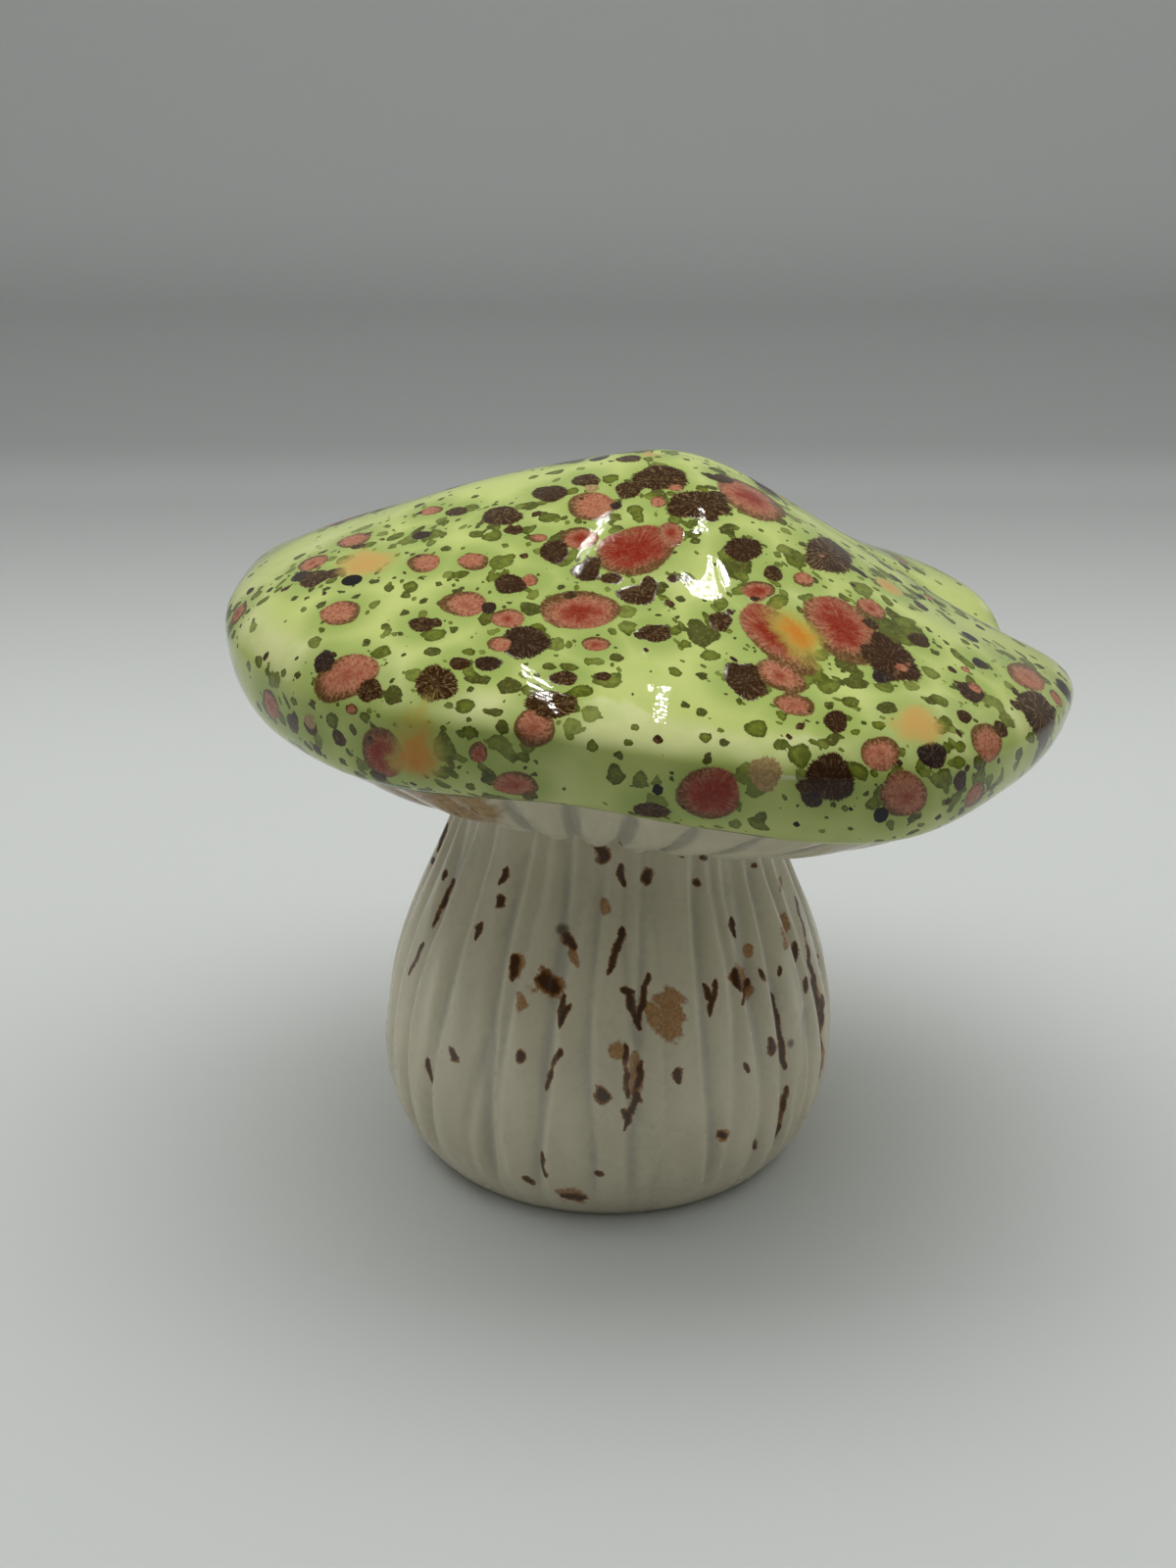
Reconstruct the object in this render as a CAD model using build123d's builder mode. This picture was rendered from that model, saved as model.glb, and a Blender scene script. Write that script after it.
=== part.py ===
from build123d import *
import os
from math import cos, exp, radians, sin

# Ceramic mushroom ornament: a hollow cap with a wavy, thickly rounded rim, luted on to a
# hollow fluted stem with a ring of slip. Lengths are in millimetres, +Z is up and the front
# faces -Y. The origin is the middle of the face that the foot stands on.

# Cap: its reach from its own middle, which lies to the right of the neck's, and the heights
# of its crown and of its rim's widest line above the seat on the neck
cap_reach = 57.5
cap_shift = 4.5
crown_lift = 45.1
rim_lift = 19.5
rim_wave = 6.0
rim_rise = 12.0
rim_drop = 11.0
rim_tuck = 5.0
rim_fullness = 3.4
crown_spread = 0.90

# Gilled underside of the cap
lip_step = 0.6
gill_count = 40
gill_depth = 0.8
under_bow = 1.7

# Joint between the castings
neck_radius = 21.8
neck_height = 54.3
neck_shift = 1.8
neck_tilt = 8.0
slip_thickness = 1.2
slip_bead = 0.4

# Stem
foot_radius = 26.1
belly_radius = 32.4
flute_depth = 0.9
flute_width = 2.6

# Slip-cast walls and holes
cap_wall = 4.0
pour_radius = 13.0
stem_wall = 4.5
foot_thickness = 5.0
vent_radius = 1.6
vent_offset = 9.0
cut_overrun = 3.0

seat_height = neck_height + slip_thickness
crown_height = seat_height + crown_lift
cap_middle = neck_shift + cap_shift
ring_points = 4 * gill_count
cavity_points = 60

# Round the cap: azimuth in degrees, reach as a share of cap_reach, height of the widest
# line as a share of rim_wave about rim_lift, and the roundings above and below that line
# as shares of rim_rise and rim_drop. Azimuth 270 is the front and 0 the right.
lobe_shares = [
    (0, 0.995, -1.00, 0.71, 0.50),
    (17, 0.94, -1.00, 0.38, 0.55),
    (33, 1.02, -0.55, 0.42, 0.64),
    (50, 1.00, -0.15, 0.46, 0.64),
    (75, 0.975, 0.00, 0.55, 0.64),
    (105, 0.975, 0.12, 0.38, 0.70),
    (135, 1.00, 0.24, 0.34, 0.70),
    (158, 1.015, 0.85, 0.62, 0.72),
    (180, 1.00, 0.90, 0.97, 0.86),
    (205, 1.01, 0.90, 1.00, 0.93),
    (230, 1.00, 0.85, 0.90, 0.93),
    (255, 0.95, 0.85, 0.65, 0.86),
    (275, 0.955, 0.42, 0.72, 0.84),
    (300, 1.015, -0.10, 0.94, 0.85),
    (322, 0.99, -0.35, 0.92, 0.70),
    (342, 0.975, -0.70, 0.80, 0.50),
]

# Rings of the cap from the crown outwards, as shares of the reach
crown_ring_shares = [0.12, 0.28, 0.45, 0.61, 0.75, 0.86, 0.94, 0.985, 1.0]
cavity_ring_shares = [0.15, 0.40, 0.65, 0.88, 1.0]
# Turn of each ring below the widest line, from level towards straight down, in degrees
rim_turns = [28, 55, 80]
# Rings of the underside from the lip inwards, 1 at the lip and 0 at the neck
under_ring_shares = [0.93, 0.82, 0.66, 0.48, 0.30, 0.12, 0.0]
cavity_floor_shares = [0.85, 0.60, 0.30]

# Side view of the stem: height as a share of neck_height, how far the stem has swollen from
# its foot or its neck to the belly, and how much of the flutes' depth is left there
belly_share = 0.28
stem_shares = [
    (0.00, 0.00, 0.0),
    (0.03, 0.27, 0.2),
    (0.09, 0.62, 0.6),
    (0.17, 0.89, 1.0),
    (belly_share, 1.00, 1.0),
    (0.40, 0.955, 1.0),
    (0.52, 0.83, 1.0),
    (0.65, 0.62, 1.0),
    (0.78, 0.35, 0.9),
    (0.89, 0.13, 0.8),
    (1.00, 0.00, 0.6),
]

# Grooves between the stem's flutes: azimuth in degrees and share of flute_depth
groove_shares = [
    (9, 0.9), (20, 0.7), (33, 1.0), (44, 0.6), (57, 0.9), (66, 0.7), (79, 1.0), (91, 0.8),
    (100, 0.6), (113, 1.0), (124, 0.8), (137, 0.7), (147, 1.0), (160, 0.8), (171, 0.6),
    (183, 1.0), (195, 0.7), (208, 0.9), (220, 0.8), (238, 1.0), (243, 0.5), (253, 1.0),
    (265, 0.8), (276, 1.0), (282, 0.5), (295, 1.0), (302, 0.6), (309, 0.8), (319, 1.0),
    (331, 0.9), (339, 0.6), (350, 0.8),
]


def around(azimuth, table, column):
    """Value of a table's column at an azimuth, joined smoothly right round."""
    count = len(table)
    after = next((i for i, row in enumerate(table) if row[0] > azimuth), count)
    places = []
    for step in (-2, -1, 0, 1):
        turn, index = divmod(after + step, count)
        places.append((table[index][0] + 360 * turn, table[index][column]))
    (a0, v0), (a1, v1), (a2, v2), (a3, v3) = places
    span = a2 - a1
    t = (azimuth - a1) / span
    slope_in = span * (v2 - v0) / (a2 - a0)
    slope_out = span * (v3 - v1) / (a3 - a1)
    start = (2 * t**3 - 3 * t**2 + 1) * v1 + (t**3 - 2 * t**2 + t) * slope_in
    return start + (3 * t**2 - 2 * t**3) * v2 + (t**3 - t**2) * slope_out


def reach_at(azimuth):
    return cap_reach * around(azimuth, lobe_shares, 1)


def rim_at(azimuth):
    return seat_height + rim_lift + rim_wave * around(azimuth, lobe_shares, 2)


def drop_at(azimuth):
    return rim_drop * around(azimuth, lobe_shares, 4)


def crown_at(azimuth, share):
    """Height of the cap's top skin at a share of the reach."""
    rise = rim_rise * around(azimuth, lobe_shares, 3)
    rounding = (1 - share**rim_fullness) ** 0.5
    bell = (1 + cos(radians(180 * share**crown_spread))) / 2
    rim = rim_at(azimuth)
    return rim + rise * rounding + (crown_height - rim - rise) * bell


def cap_point(azimuth, radius, height):
    """A point round the cap's own upright axis."""
    return Vector(
        cap_middle + radius * cos(radians(azimuth)), radius * sin(radians(azimuth)), height
    )


def crown_point(azimuth, share, inset, depth):
    """A point of the top skin, or as deep below it as a wall is thick."""
    radius = (reach_at(azimuth) - inset) * share
    height = crown_at(azimuth, radius / reach_at(azimuth)) - depth
    return cap_point(azimuth, radius, height)


def rim_point(azimuth, turn):
    """A point of the rounding below the rim's widest line."""
    full = radians(rim_turns[-1])
    tuck = rim_tuck * (1 - cos(radians(turn))) / (1 - cos(full))
    drop = drop_at(azimuth) * sin(radians(turn)) / sin(full)
    return cap_point(azimuth, reach_at(azimuth) - tuck, rim_at(azimuth) - drop)


def on_plane(plane, azimuth, radius):
    """A point of a circle drawn on a plane."""
    across = radius * cos(radians(azimuth))
    along = radius * sin(radians(azimuth))
    return plane.from_local_coords(Vector(across, along, 0))


def gill_at(azimuth, share):
    """How far the gills stand down at a place on the underside."""
    fade = 4 * share * (1 - share)
    return gill_depth * fade**0.5 * cos(radians(gill_count * azimuth))


def under_point(azimuth, share, depth, gills):
    """A point of the underside, from the seat on the neck to the lip."""
    seat = on_plane(seat_plane, azimuth, neck_radius + slip_bead)
    lip = cap_point(
        azimuth, reach_at(azimuth) - rim_tuck - lip_step, rim_at(azimuth) - drop_at(azimuth)
    )
    level = seat + (lip - seat) * share
    bow = (lip.Z - seat.Z) * (share - share**under_bow)
    down = gills * gill_at(azimuth, share) - depth
    return Vector(level.X, level.Y, level.Z - bow - down)


def ring(place, count):
    """Closed curve through evenly turned points, a wire for a loft."""
    points = [place(360 * i / count) for i in range(count)]
    turns = [i / count for i in range(count + 1)]
    return Wire([Edge.make_spline(points, periodic=True, parameters=turns)])


def stem_plane(share):
    """Plane of a stem ring: it moves over and tilts towards the neck."""
    tilt = radians(neck_tilt * share**3)
    return Plane(
        origin=(neck_shift * share**2, 0, neck_height * share),
        x_dir=(cos(tilt), 0, -sin(tilt)),
        z_dir=(sin(tilt), 0, cos(tilt)),
    )


def stem_radius(share, swell_share):
    """Radius of a stem ring, between the foot or the neck and the belly."""
    narrow = foot_radius if share < belly_share else neck_radius
    return narrow + (belly_radius - narrow) * swell_share


def flute_at(azimuth, radius):
    """Depth of the grooves round the stem at an azimuth."""
    depth = 0
    for groove, share in groove_shares:
        turn = (azimuth - groove + 180) % 360 - 180
        away = radians(turn) * radius / flute_width
        depth = depth + flute_depth * share * exp(-(2 * away) ** 2)
    return depth


neck_plane = stem_plane(1)
seat_plane = neck_plane.offset(slip_thickness)


def stem_point(azimuth, radius, flute_share):
    """A point of the fluted skin, in its ring's own plane."""
    grooved = radius - flute_share * flute_at(azimuth, radius)
    return Vector(grooved * cos(radians(azimuth)), grooved * sin(radians(azimuth)), 0)


# Cap: top skin, rounded rim and gilled underside in one skin, hollow, open at the seat
cap_rings = [Vertex(cap_middle, 0, crown_height)]
for share in crown_ring_shares:
    cap_rings.append(ring(lambda a: crown_point(a, share, 0, 0), ring_points))
for turn in rim_turns:
    cap_rings.append(ring(lambda a: rim_point(a, turn), ring_points))
for share in under_ring_shares:
    cap_rings.append(ring(lambda a: under_point(a, share, 0, 1), ring_points))

cavity_rings = [Vertex(cap_middle, 0, crown_height - cap_wall)]
for share in cavity_ring_shares:
    cavity_rings.append(ring(lambda a: crown_point(a, share, 2 * cap_wall, cap_wall), cavity_points))
for share in cavity_floor_shares:
    cavity_rings.append(ring(lambda a: under_point(a, share, cap_wall, 0), cavity_points))
cavity_mouth = seat_plane.offset(cap_wall)
cavity_rings.append(ring(lambda a: on_plane(cavity_mouth, a, pour_radius + cap_wall), cavity_points))

with BuildPart() as cap:
    add(Solid.make_loft(cap_rings))
    add(Solid.make_loft(cavity_rings, ruled=True), mode=Mode.SUBTRACT)
    with BuildSketch(seat_plane.offset(-cut_overrun)):
        Circle(pour_radius)
    extrude(amount=cap_wall + 2 * cut_overrun, mode=Mode.SUBTRACT)

# Stem: fluted skin, hollow from the neck down to a flat foot with a vent
with BuildPart() as stem:
    for share, swell_share, flute_share in stem_shares:
        radius = stem_radius(share, swell_share)
        with BuildSketch(stem_plane(share)):
            with BuildLine():
                skin = ring(lambda a: stem_point(a, radius, flute_share), ring_points)
                add(skin.edges())
            make_face()
    loft()
    with BuildSketch(Plane.XY.offset(foot_thickness)):
        Circle(foot_radius - stem_wall)
    for share, swell_share, flute_share in stem_shares:
        if neck_height * share > foot_thickness + stem_wall / 2:
            with BuildSketch(stem_plane(share)):
                Circle(stem_radius(share, swell_share) - stem_wall)
    with BuildSketch(neck_plane.offset(cut_overrun)):
        Circle(neck_radius - stem_wall)
    loft(ruled=True, mode=Mode.SUBTRACT)
    with BuildSketch(Plane.XY.offset(-cut_overrun)):
        with Locations((0, vent_offset)):
            Circle(vent_radius)
    extrude(amount=foot_thickness + 2 * cut_overrun, mode=Mode.SUBTRACT)

# Joining slip: the ring of fired slip squeezed between the stem's rim and the cap's seat
with BuildPart() as joining_slip:
    with BuildSketch(neck_plane):
        Circle(neck_radius + slip_bead)
        Circle(neck_radius - stem_wall, mode=Mode.SUBTRACT)
    extrude(amount=slip_thickness)

cap.part.label = "cap"
stem.part.label = "stem"
joining_slip.part.label = "joining_slip"

os.makedirs("parts", exist_ok=True)
export_step(cap.part, "parts/cap.step")
export_step(stem.part, "parts/stem.step")
export_step(joining_slip.part, "parts/joining_slip.step")
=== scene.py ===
"""Dresses the CAD frame of a slip-cast ceramic mushroom: a cap with a crystal glaze, a fluted
stem with a satin glaze, and the slip that joins them. Lengths are in metres."""

import bpy
import numpy as np
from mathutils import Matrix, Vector
from mathutils.bvhtree import BVHTree


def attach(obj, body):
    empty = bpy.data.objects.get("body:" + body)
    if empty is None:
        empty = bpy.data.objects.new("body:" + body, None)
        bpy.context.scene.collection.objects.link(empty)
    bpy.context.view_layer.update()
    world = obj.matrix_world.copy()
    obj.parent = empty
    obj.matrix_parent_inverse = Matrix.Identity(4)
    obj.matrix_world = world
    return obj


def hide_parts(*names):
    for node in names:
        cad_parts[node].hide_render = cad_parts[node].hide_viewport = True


bl_info = {
    "name": "Ceramic mushroom",
    "version": (1, 0, 0),
    "blender": (4, 5, 0),
    "location": "3D View > Sidebar > Mushroom",
    "description": "Builds a glazed ceramic mushroom, its stage and its camera",
    "category": "Add Mesh",
}

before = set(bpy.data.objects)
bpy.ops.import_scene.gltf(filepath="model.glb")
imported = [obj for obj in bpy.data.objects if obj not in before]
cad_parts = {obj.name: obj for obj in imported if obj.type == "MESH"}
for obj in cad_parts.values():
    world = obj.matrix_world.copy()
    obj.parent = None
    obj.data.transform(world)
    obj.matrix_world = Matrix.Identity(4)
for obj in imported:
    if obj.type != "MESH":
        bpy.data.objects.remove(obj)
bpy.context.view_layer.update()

MM = 0.001

# Round the cap: azimuth in degrees, reach, height of the widest line, and the roundings above
# and below that line, each as a share of the size of that name
lobe_shares = [
    (0, 0.995, -1.00, 0.71, 0.50),
    (17, 0.94, -1.00, 0.38, 0.55),
    (33, 1.02, -0.55, 0.42, 0.64),
    (50, 1.00, -0.15, 0.46, 0.64),
    (75, 0.975, 0.00, 0.55, 0.64),
    (105, 0.975, 0.12, 0.38, 0.70),
    (135, 1.00, 0.24, 0.34, 0.70),
    (158, 1.015, 0.85, 0.62, 0.72),
    (180, 1.00, 0.90, 0.97, 0.86),
    (205, 1.01, 0.90, 1.00, 0.93),
    (230, 1.00, 0.85, 0.90, 0.93),
    (255, 0.95, 0.85, 0.65, 0.86),
    (275, 0.955, 0.42, 0.72, 0.84),
    (300, 1.015, -0.10, 0.94, 0.85),
    (322, 0.99, -0.35, 0.92, 0.70),
    (342, 0.975, -0.70, 0.80, 0.50),
]

# How full the rim's rounding is, how far the bell of the crown spreads, how far the rim turns
# under, in degrees, and how thick the bead of glaze along its lip is
rim_fullness = 3.4
crown_spread = 0.90
rim_turn = 80.0
lip_bead = 0.22 * MM

# Side view of the stem: height, swelling from foot or neck to belly, and depth of the flutes
belly_share = 0.28
stem_shares = [
    (0.00, 0.00, 0.0),
    (0.03, 0.27, 0.2),
    (0.09, 0.62, 0.6),
    (0.17, 0.89, 1.0),
    (belly_share, 1.00, 1.0),
    (0.40, 0.955, 1.0),
    (0.52, 0.83, 1.0),
    (0.65, 0.62, 1.0),
    (0.78, 0.35, 0.9),
    (0.89, 0.13, 0.8),
    (1.00, 0.00, 0.6),
]

# Grooves between the flutes: azimuth in degrees and share of the flutes' depth
groove_shares = [
    (9, 0.9), (20, 0.7), (33, 1.0), (44, 0.6), (57, 0.9), (66, 0.7), (79, 1.0), (91, 0.8),
    (100, 0.6), (113, 1.0), (124, 0.8), (137, 0.7), (147, 1.0), (160, 0.8), (171, 0.6),
    (183, 1.0), (195, 0.7), (208, 0.9), (220, 0.8), (238, 1.0), (243, 0.5), (253, 1.0),
    (265, 0.8), (276, 1.0), (282, 0.5), (295, 1.0), (302, 0.6), (309, 0.8), (319, 1.0),
    (331, 0.9), (339, 0.6), (350, 0.8),
]

# Side grooves that run into a main one: azimuth where they join, offset in degrees where they
# start, height share of the start and of the join, share of the flutes' depth
branch_shares = [
    (20, 7, 0.95, 0.62, 0.6), (57, -6, 0.20, 0.48, 0.7), (100, 7, 0.92, 0.55, 0.6),
    (137, -7, 0.90, 0.60, 0.7), (171, 6, 0.15, 0.45, 0.6), (208, -7, 0.92, 0.66, 0.7),
    (238, -5, 0.22, 0.52, 0.6), (253, 6, 0.88, 0.60, 0.8), (276, -5, 0.80, 0.52, 0.8),
    (276, 5, 0.18, 0.40, 0.5), (309, 4, 0.85, 0.58, 0.7), (331, -6, 0.25, 0.50, 0.6),
]

# The photograph's frame and its camera
frame_wide_px = 1200
frame_tall_px = 1600
camera_eye = (-0.0028, -0.283, 0.168)
camera_dip = 22.0
camera_focus_px = 2220.0
camera_sensor = 36.0

# Crystals of the cap's glaze that the photograph shows: across, down, wide and tall, in its
# pixels. Some have a number from 0 to 1 of their own, which sets their tint (a red one is pink
# right through at 0, and mostly deep red at 1), and some a slant clockwise, in degrees
red_crystals_px = [
    (361, 551, 50, 18, 0.2), (319, 574, 43, 20, 0.4), (432, 574, 36, 21, 0.3),
    (483, 573, 33, 18, 0.2), (347, 625, 50, 27, 0.1), (473, 616, 50, 26, 0.35),
    (243, 626, 23, 30, 0.6), (352, 690, 74, 42, 0.35, -24), (276, 719, 23, 36, 0.5),
    (488, 768, 20, 23, 0.8), (545, 742, 43, 40, 0.5), (518, 631, 36, 20, 0.45),
    (591, 622, 93, 40, 0.7), (608, 657, 60, 15, 0.7), (649, 561, 84, 50, 1.0, -12),
    (684, 545, 30, 26, 0.7), (591, 549, 40, 23, 0.7), (603, 516, 50, 30, 0.2),
    (541, 592, 17, 13, 0.5), (526, 801, 60, 25, 0.6), (440, 521, 43, 10, 0.3),
    (768, 508, 80, 28, 0.75, 28), (774, 602, 36, 19, 0.8), (794, 651, 100, 44, 0.85, 43),
    (860, 641, 92, 54, 0.85, 40), (918, 680, 34, 24, 0.5), (889, 621, 34, 17, 0.6, 28),
    (796, 690, 58, 28, 0.5, 25), (811, 719, 44, 22, 0.55, 12), (1048, 689, 44, 22, 0.3, 30),
    (1008, 756, 40, 42, 0.2), (723, 812, 67, 54, 1.0), (899, 768, 41, 36, 0.3),
    (923, 812, 50, 48, 0.5), (995, 812, 28, 32, 0.4), (820, 591, 24, 17, 0.1),
    (948, 609, 20, 10, 0.3), (512, 657, 36, 16, 0.2), (690, 497, 20, 8, 0.3),
    (1078, 712, 16, 30, 0.3), (390, 770, 46, 70, 1.0), (549, 549, 22, 9, 0.1),
    (838, 566, 18, 12, 0.2), (994, 703, 24, 18, 0.2), (918, 571, 40, 10, 0.1),
    (672, 512, 18, 12, 0.0), (985, 683, 14, 8, 0.3), (359, 724, 40, 12, 0.1),
]
brown_crystals_px = [
    (431, 637, 31, 15), (445, 697, 43, 36), (299, 738, 13, 30), (561, 719, 60, 30),
    (575, 692, 37, 15), (498, 677, 40, 15), (469, 677, 22, 13), (536, 655, 48, 33),
    (598, 583, 30, 20), (566, 563, 30, 30), (512, 526, 43, 20), (561, 503, 37, 17),
    (598, 490, 30, 13), (641, 500, 27, 17), (674, 487, 57, 25), (712, 515, 84, 28),
    (759, 560, 40, 24), (789, 585, 20, 22), (847, 565, 50, 34, 0.1, 25), (735, 634, 24, 20),
    (760, 695, 50, 30, 0.6, 35), (853, 736, 24, 27), (952, 770, 40, 27), (938, 653, 30, 17),
    (908, 671, 70, 36, 0.7, 38), (1000, 677, 26, 14), (991, 706, 36, 24), (1062, 728, 56, 62, 0.3),
    (1087, 704, 20, 48), (984, 731, 18, 16), (847, 795, 50, 47), (980, 797, 14, 25),
    (650, 607, 58, 20), (668, 646, 40, 18), (521, 596, 34, 20), (664, 828, 70, 16),
    (331, 676, 22, 30), (376, 703, 26, 26), (386, 792, 18, 24, 0.5), (318, 742, 12, 26),
    (466, 522, 30, 10), (524, 541, 22, 9), (498, 620, 18, 12), (615, 690, 20, 9),
    (430, 546, 30, 9), (306, 588, 26, 12), (583, 608, 26, 10), (900, 690, 22, 16),
    (741, 489, 40, 12), (1021, 744, 18, 20), (864, 805, 14, 16), (1000, 640, 26, 7),
    (770, 484, 60, 12), (808, 509, 40, 10), (320, 590, 40, 20), (380, 758, 14, 26, 0.4),
    (624, 590, 24, 12), (605, 573, 20, 10), (726, 528, 16, 8), (888, 664, 34, 30, 0.6),
]
tan_crystals_px = [
    (781, 790, 34, 37), (316, 736, 14, 18), (604, 498, 18, 8),
]
orange_crystals_px = [
    (371, 575, 84, 44, 0.9), (423, 766, 76, 104, 0.6), (664, 463, 33, 8, 0.8),
    (812, 646, 98, 50, 0.4, 47), (936, 738, 70, 50, 0.95), (908, 599, 50, 36, 1.0),
    (799, 508, 16, 22, 0.7), (420, 818, 90, 34, 0.5, 8), (460, 828, 90, 34, 0.5, 8),
    (436, 830, 80, 24, 0.5, 8),
]
green_crystals_px = [
    (401, 709, 20, 22), (281, 694, 27, 17), (339, 735, 16, 18), (520, 700, 27, 17),
    (482, 692, 20, 11), (621, 694, 33, 16), (628, 791, 20, 26), (653, 796, 17, 22),
    (604, 762, 13, 14), (631, 770, 15, 8), (648, 742, 10, 9), (641, 758, 10, 9),
    (523, 774, 9, 13), (541, 795, 9, 7), (480, 803, 12, 17), (752, 579, 34, 24),
    (717, 648, 34, 24), (772, 743, 25, 19), (924, 636, 28, 20), (963, 795, 22, 22),
    (777, 832, 14, 9), (781, 845, 11, 5), (419, 599, 17, 12), (397, 600, 12, 10),
    (453, 764, 24, 60), (372, 732, 16, 12), (382, 744, 11, 8), (310, 622, 9, 8),
    (441, 665, 22, 10), (478, 665, 16, 8), (458, 720, 11, 7), (716, 727, 13, 10),
    (735, 745, 9, 6), (846, 700, 26, 16), (868, 716, 20, 12), (905, 722, 26, 14),
    (897, 740, 18, 10), (874, 688, 18, 14), (965, 737, 18, 16), (1000, 778, 16, 18),
    (980, 762, 14, 14), (944, 788, 14, 12), (790, 618, 20, 10), (725, 669, 22, 12),
    (699, 657, 14, 10), (665, 577, 30, 9), (700, 590, 16, 14), (548, 640, 18, 9),
    (560, 680, 18, 8), (535, 689, 14, 8), (640, 640, 22, 12), (610, 675, 22, 8),
    (575, 545, 16, 8), (626, 528, 22, 9), (648, 520, 20, 9), (560, 528, 30, 10),
    (540, 516, 30, 9), (486, 545, 28, 8), (455, 560, 16, 6), (390, 545, 18, 6),
    (338, 570, 14, 7), (284, 590, 12, 7), (266, 600, 8, 10), (258, 640, 10, 16),
    (264, 675, 8, 14), (325, 760, 10, 14), (350, 777, 12, 10), (300, 716, 10, 12),
    (690, 520, 26, 9), (742, 540, 18, 12), (800, 560, 20, 12), (826, 610, 18, 9),
    (880, 600, 16, 9), (870, 580, 18, 9), (960, 625, 18, 9), (985, 655, 16, 9),
    (908, 643, 46, 20, 0.2, 38), (930, 645, 40, 20, 0.3, 40),
    (880, 601, 30, 20), (795, 613, 22, 14), (873, 697, 30, 12, 0.2, 10), (903, 701, 26, 13),
    (1020, 665, 14, 9), (1030, 700, 16, 14), (1040, 770, 14, 16), (1010, 795, 12, 14),
    (820, 700, 12, 9), (838, 668, 18, 14), (930, 700, 22, 12), (950, 715, 18, 10),
    (1060, 680, 16, 8), (908, 840, 14, 8), (940, 842, 12, 7), (868, 845, 12, 5),
]
black_crystals_px = [
    (359, 592, 28, 13), (899, 832, 17, 21), (990, 650, 27, 16), (940, 609, 17, 9),
    (671, 806, 13, 13), (700, 590, 9, 8), (813, 841, 9, 7), (869, 826, 6, 7),
]

# Runs of brown crystals in the stem's glaze: across and down where a run starts and where it
# ends, then its width at both, in pixels of the photograph. Tan ones in the same way
brown_runs_px = [
    (612, 860, 616, 876, 15, 11), (633, 884, 636, 904, 6, 4), (660, 891, 661, 899, 9, 8),
    (710, 900, 711, 901, 6, 4), (692, 871, 698, 872, 4, 4), (714, 875, 720, 876, 4, 4),
    (767, 883, 771, 884, 3, 3), (518, 887, 510, 901, 7, 4), (511, 917, 508, 924, 9, 5),
    (491, 943, 485, 959, 9, 3), (463, 898, 442, 945, 4, 2), (432, 963, 417, 995, 3, 3),
    (455, 888, 452, 896, 4, 3), (526, 976, 523, 1000, 12, 5), (555, 1000, 566, 1008, 18, 14),
    (575, 1015, 570, 1048, 6, 3), (581, 1026, 573, 1042, 3, 3), (580, 959, 585, 966, 12, 7),
    (636, 948, 621, 993, 9, 3), (640, 1010, 652, 1050, 6, 5), (661, 994, 652, 1040, 3, 5),
    (634, 1011, 647, 1013, 6, 4), (638, 1066, 640, 1120, 3, 5), (655, 1084, 645, 1135, 5, 5),
    (652, 1116, 638, 1152, 7, 5), (636, 1133, 641, 1146, 5, 5), (571, 1072, 557, 1112, 6, 3),
    (436, 1080, 441, 1104, 4, 3), (461, 1074, 463, 1079, 9, 8), (530, 1076, 532, 1081, 7, 6),
    (613, 1116, 616, 1120, 12, 11), (691, 1092, 693, 1104, 8, 6), (718, 1004, 724, 1020, 4, 4),
    (731, 1000, 724, 1036, 3, 3), (746, 938, 749, 955, 7, 4), (749, 990, 756, 1010, 12, 10),
    (764, 1000, 758, 1024, 8, 3), (774, 990, 788, 1020, 3, 3), (788, 1020, 800, 1090, 5, 6),
    (786, 1060, 788, 1076, 9, 8), (802, 1110, 791, 1160, 6, 3), (761, 1086, 763, 1094, 4, 2),
    (769, 1165, 770, 1172, 5, 4), (553, 1176, 556, 1200, 6, 5), (537, 1203, 543, 1207, 8, 5),
    (608, 1197, 614, 1197, 5, 4), (572, 1220, 596, 1222, 8, 14), (811, 962, 811, 980, 8, 7),
    (822, 998, 822, 1012, 5, 4), (811, 915, 826, 985, 3, 4), (827, 985, 836, 1050, 5, 6),
    (836, 1050, 836, 1100, 5, 2), (839, 1016, 838, 1046, 9, 8), (816, 900, 818, 912, 4, 3),
    (736, 1158, 739, 1160, 8, 6), (795, 988, 795, 994, 4, 3), (834, 976, 835, 984, 5, 4),
]
tan_runs_px = [
    (683, 1024, 684, 1050, 34, 26), (664, 1030, 670, 1040, 14, 14), (800, 938, 802, 962, 20, 18),
    (796, 896, 797, 908, 9, 8), (629, 1070, 632, 1074, 16, 14), (530, 1018, 531, 1024, 12, 12),
    (556, 1004, 568, 1006, 24, 22), (582, 966, 590, 985, 8, 6), (646, 1075, 650, 1120, 14, 12),
    (617, 922, 618, 928, 10, 8), (763, 968, 764, 974, 9, 8), (754, 996, 762, 1010, 24, 16),
    (839, 1072, 839, 1090, 9, 6), (798, 1118, 796, 1140, 9, 6), (585, 1220, 590, 1222, 30, 20),
    (738, 1158, 739, 1161, 14, 12), (834, 1010, 838, 1050, 10, 10), (528, 982, 525, 992, 16, 10),
]

# A narrow pale line in the cap's glaze, in the same way
pale_line_px = [(745, 793, 790, 792, 2.0, 2.5), (790, 792, 832, 796, 2.5, 1.5)]

# Pale patches on the cap: painted sheen of soft reflections on its upper rim, partly where the
# glaze thins, in the same way
sheen_and_thin_px = [
    (802, 758, 850, 770, 30, 34), (850, 770, 905, 780, 34, 22), (262, 652, 300, 690, 34, 30),
    (466, 722, 516, 734, 24, 26), (600, 718, 664, 732, 30, 30),
]

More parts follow.
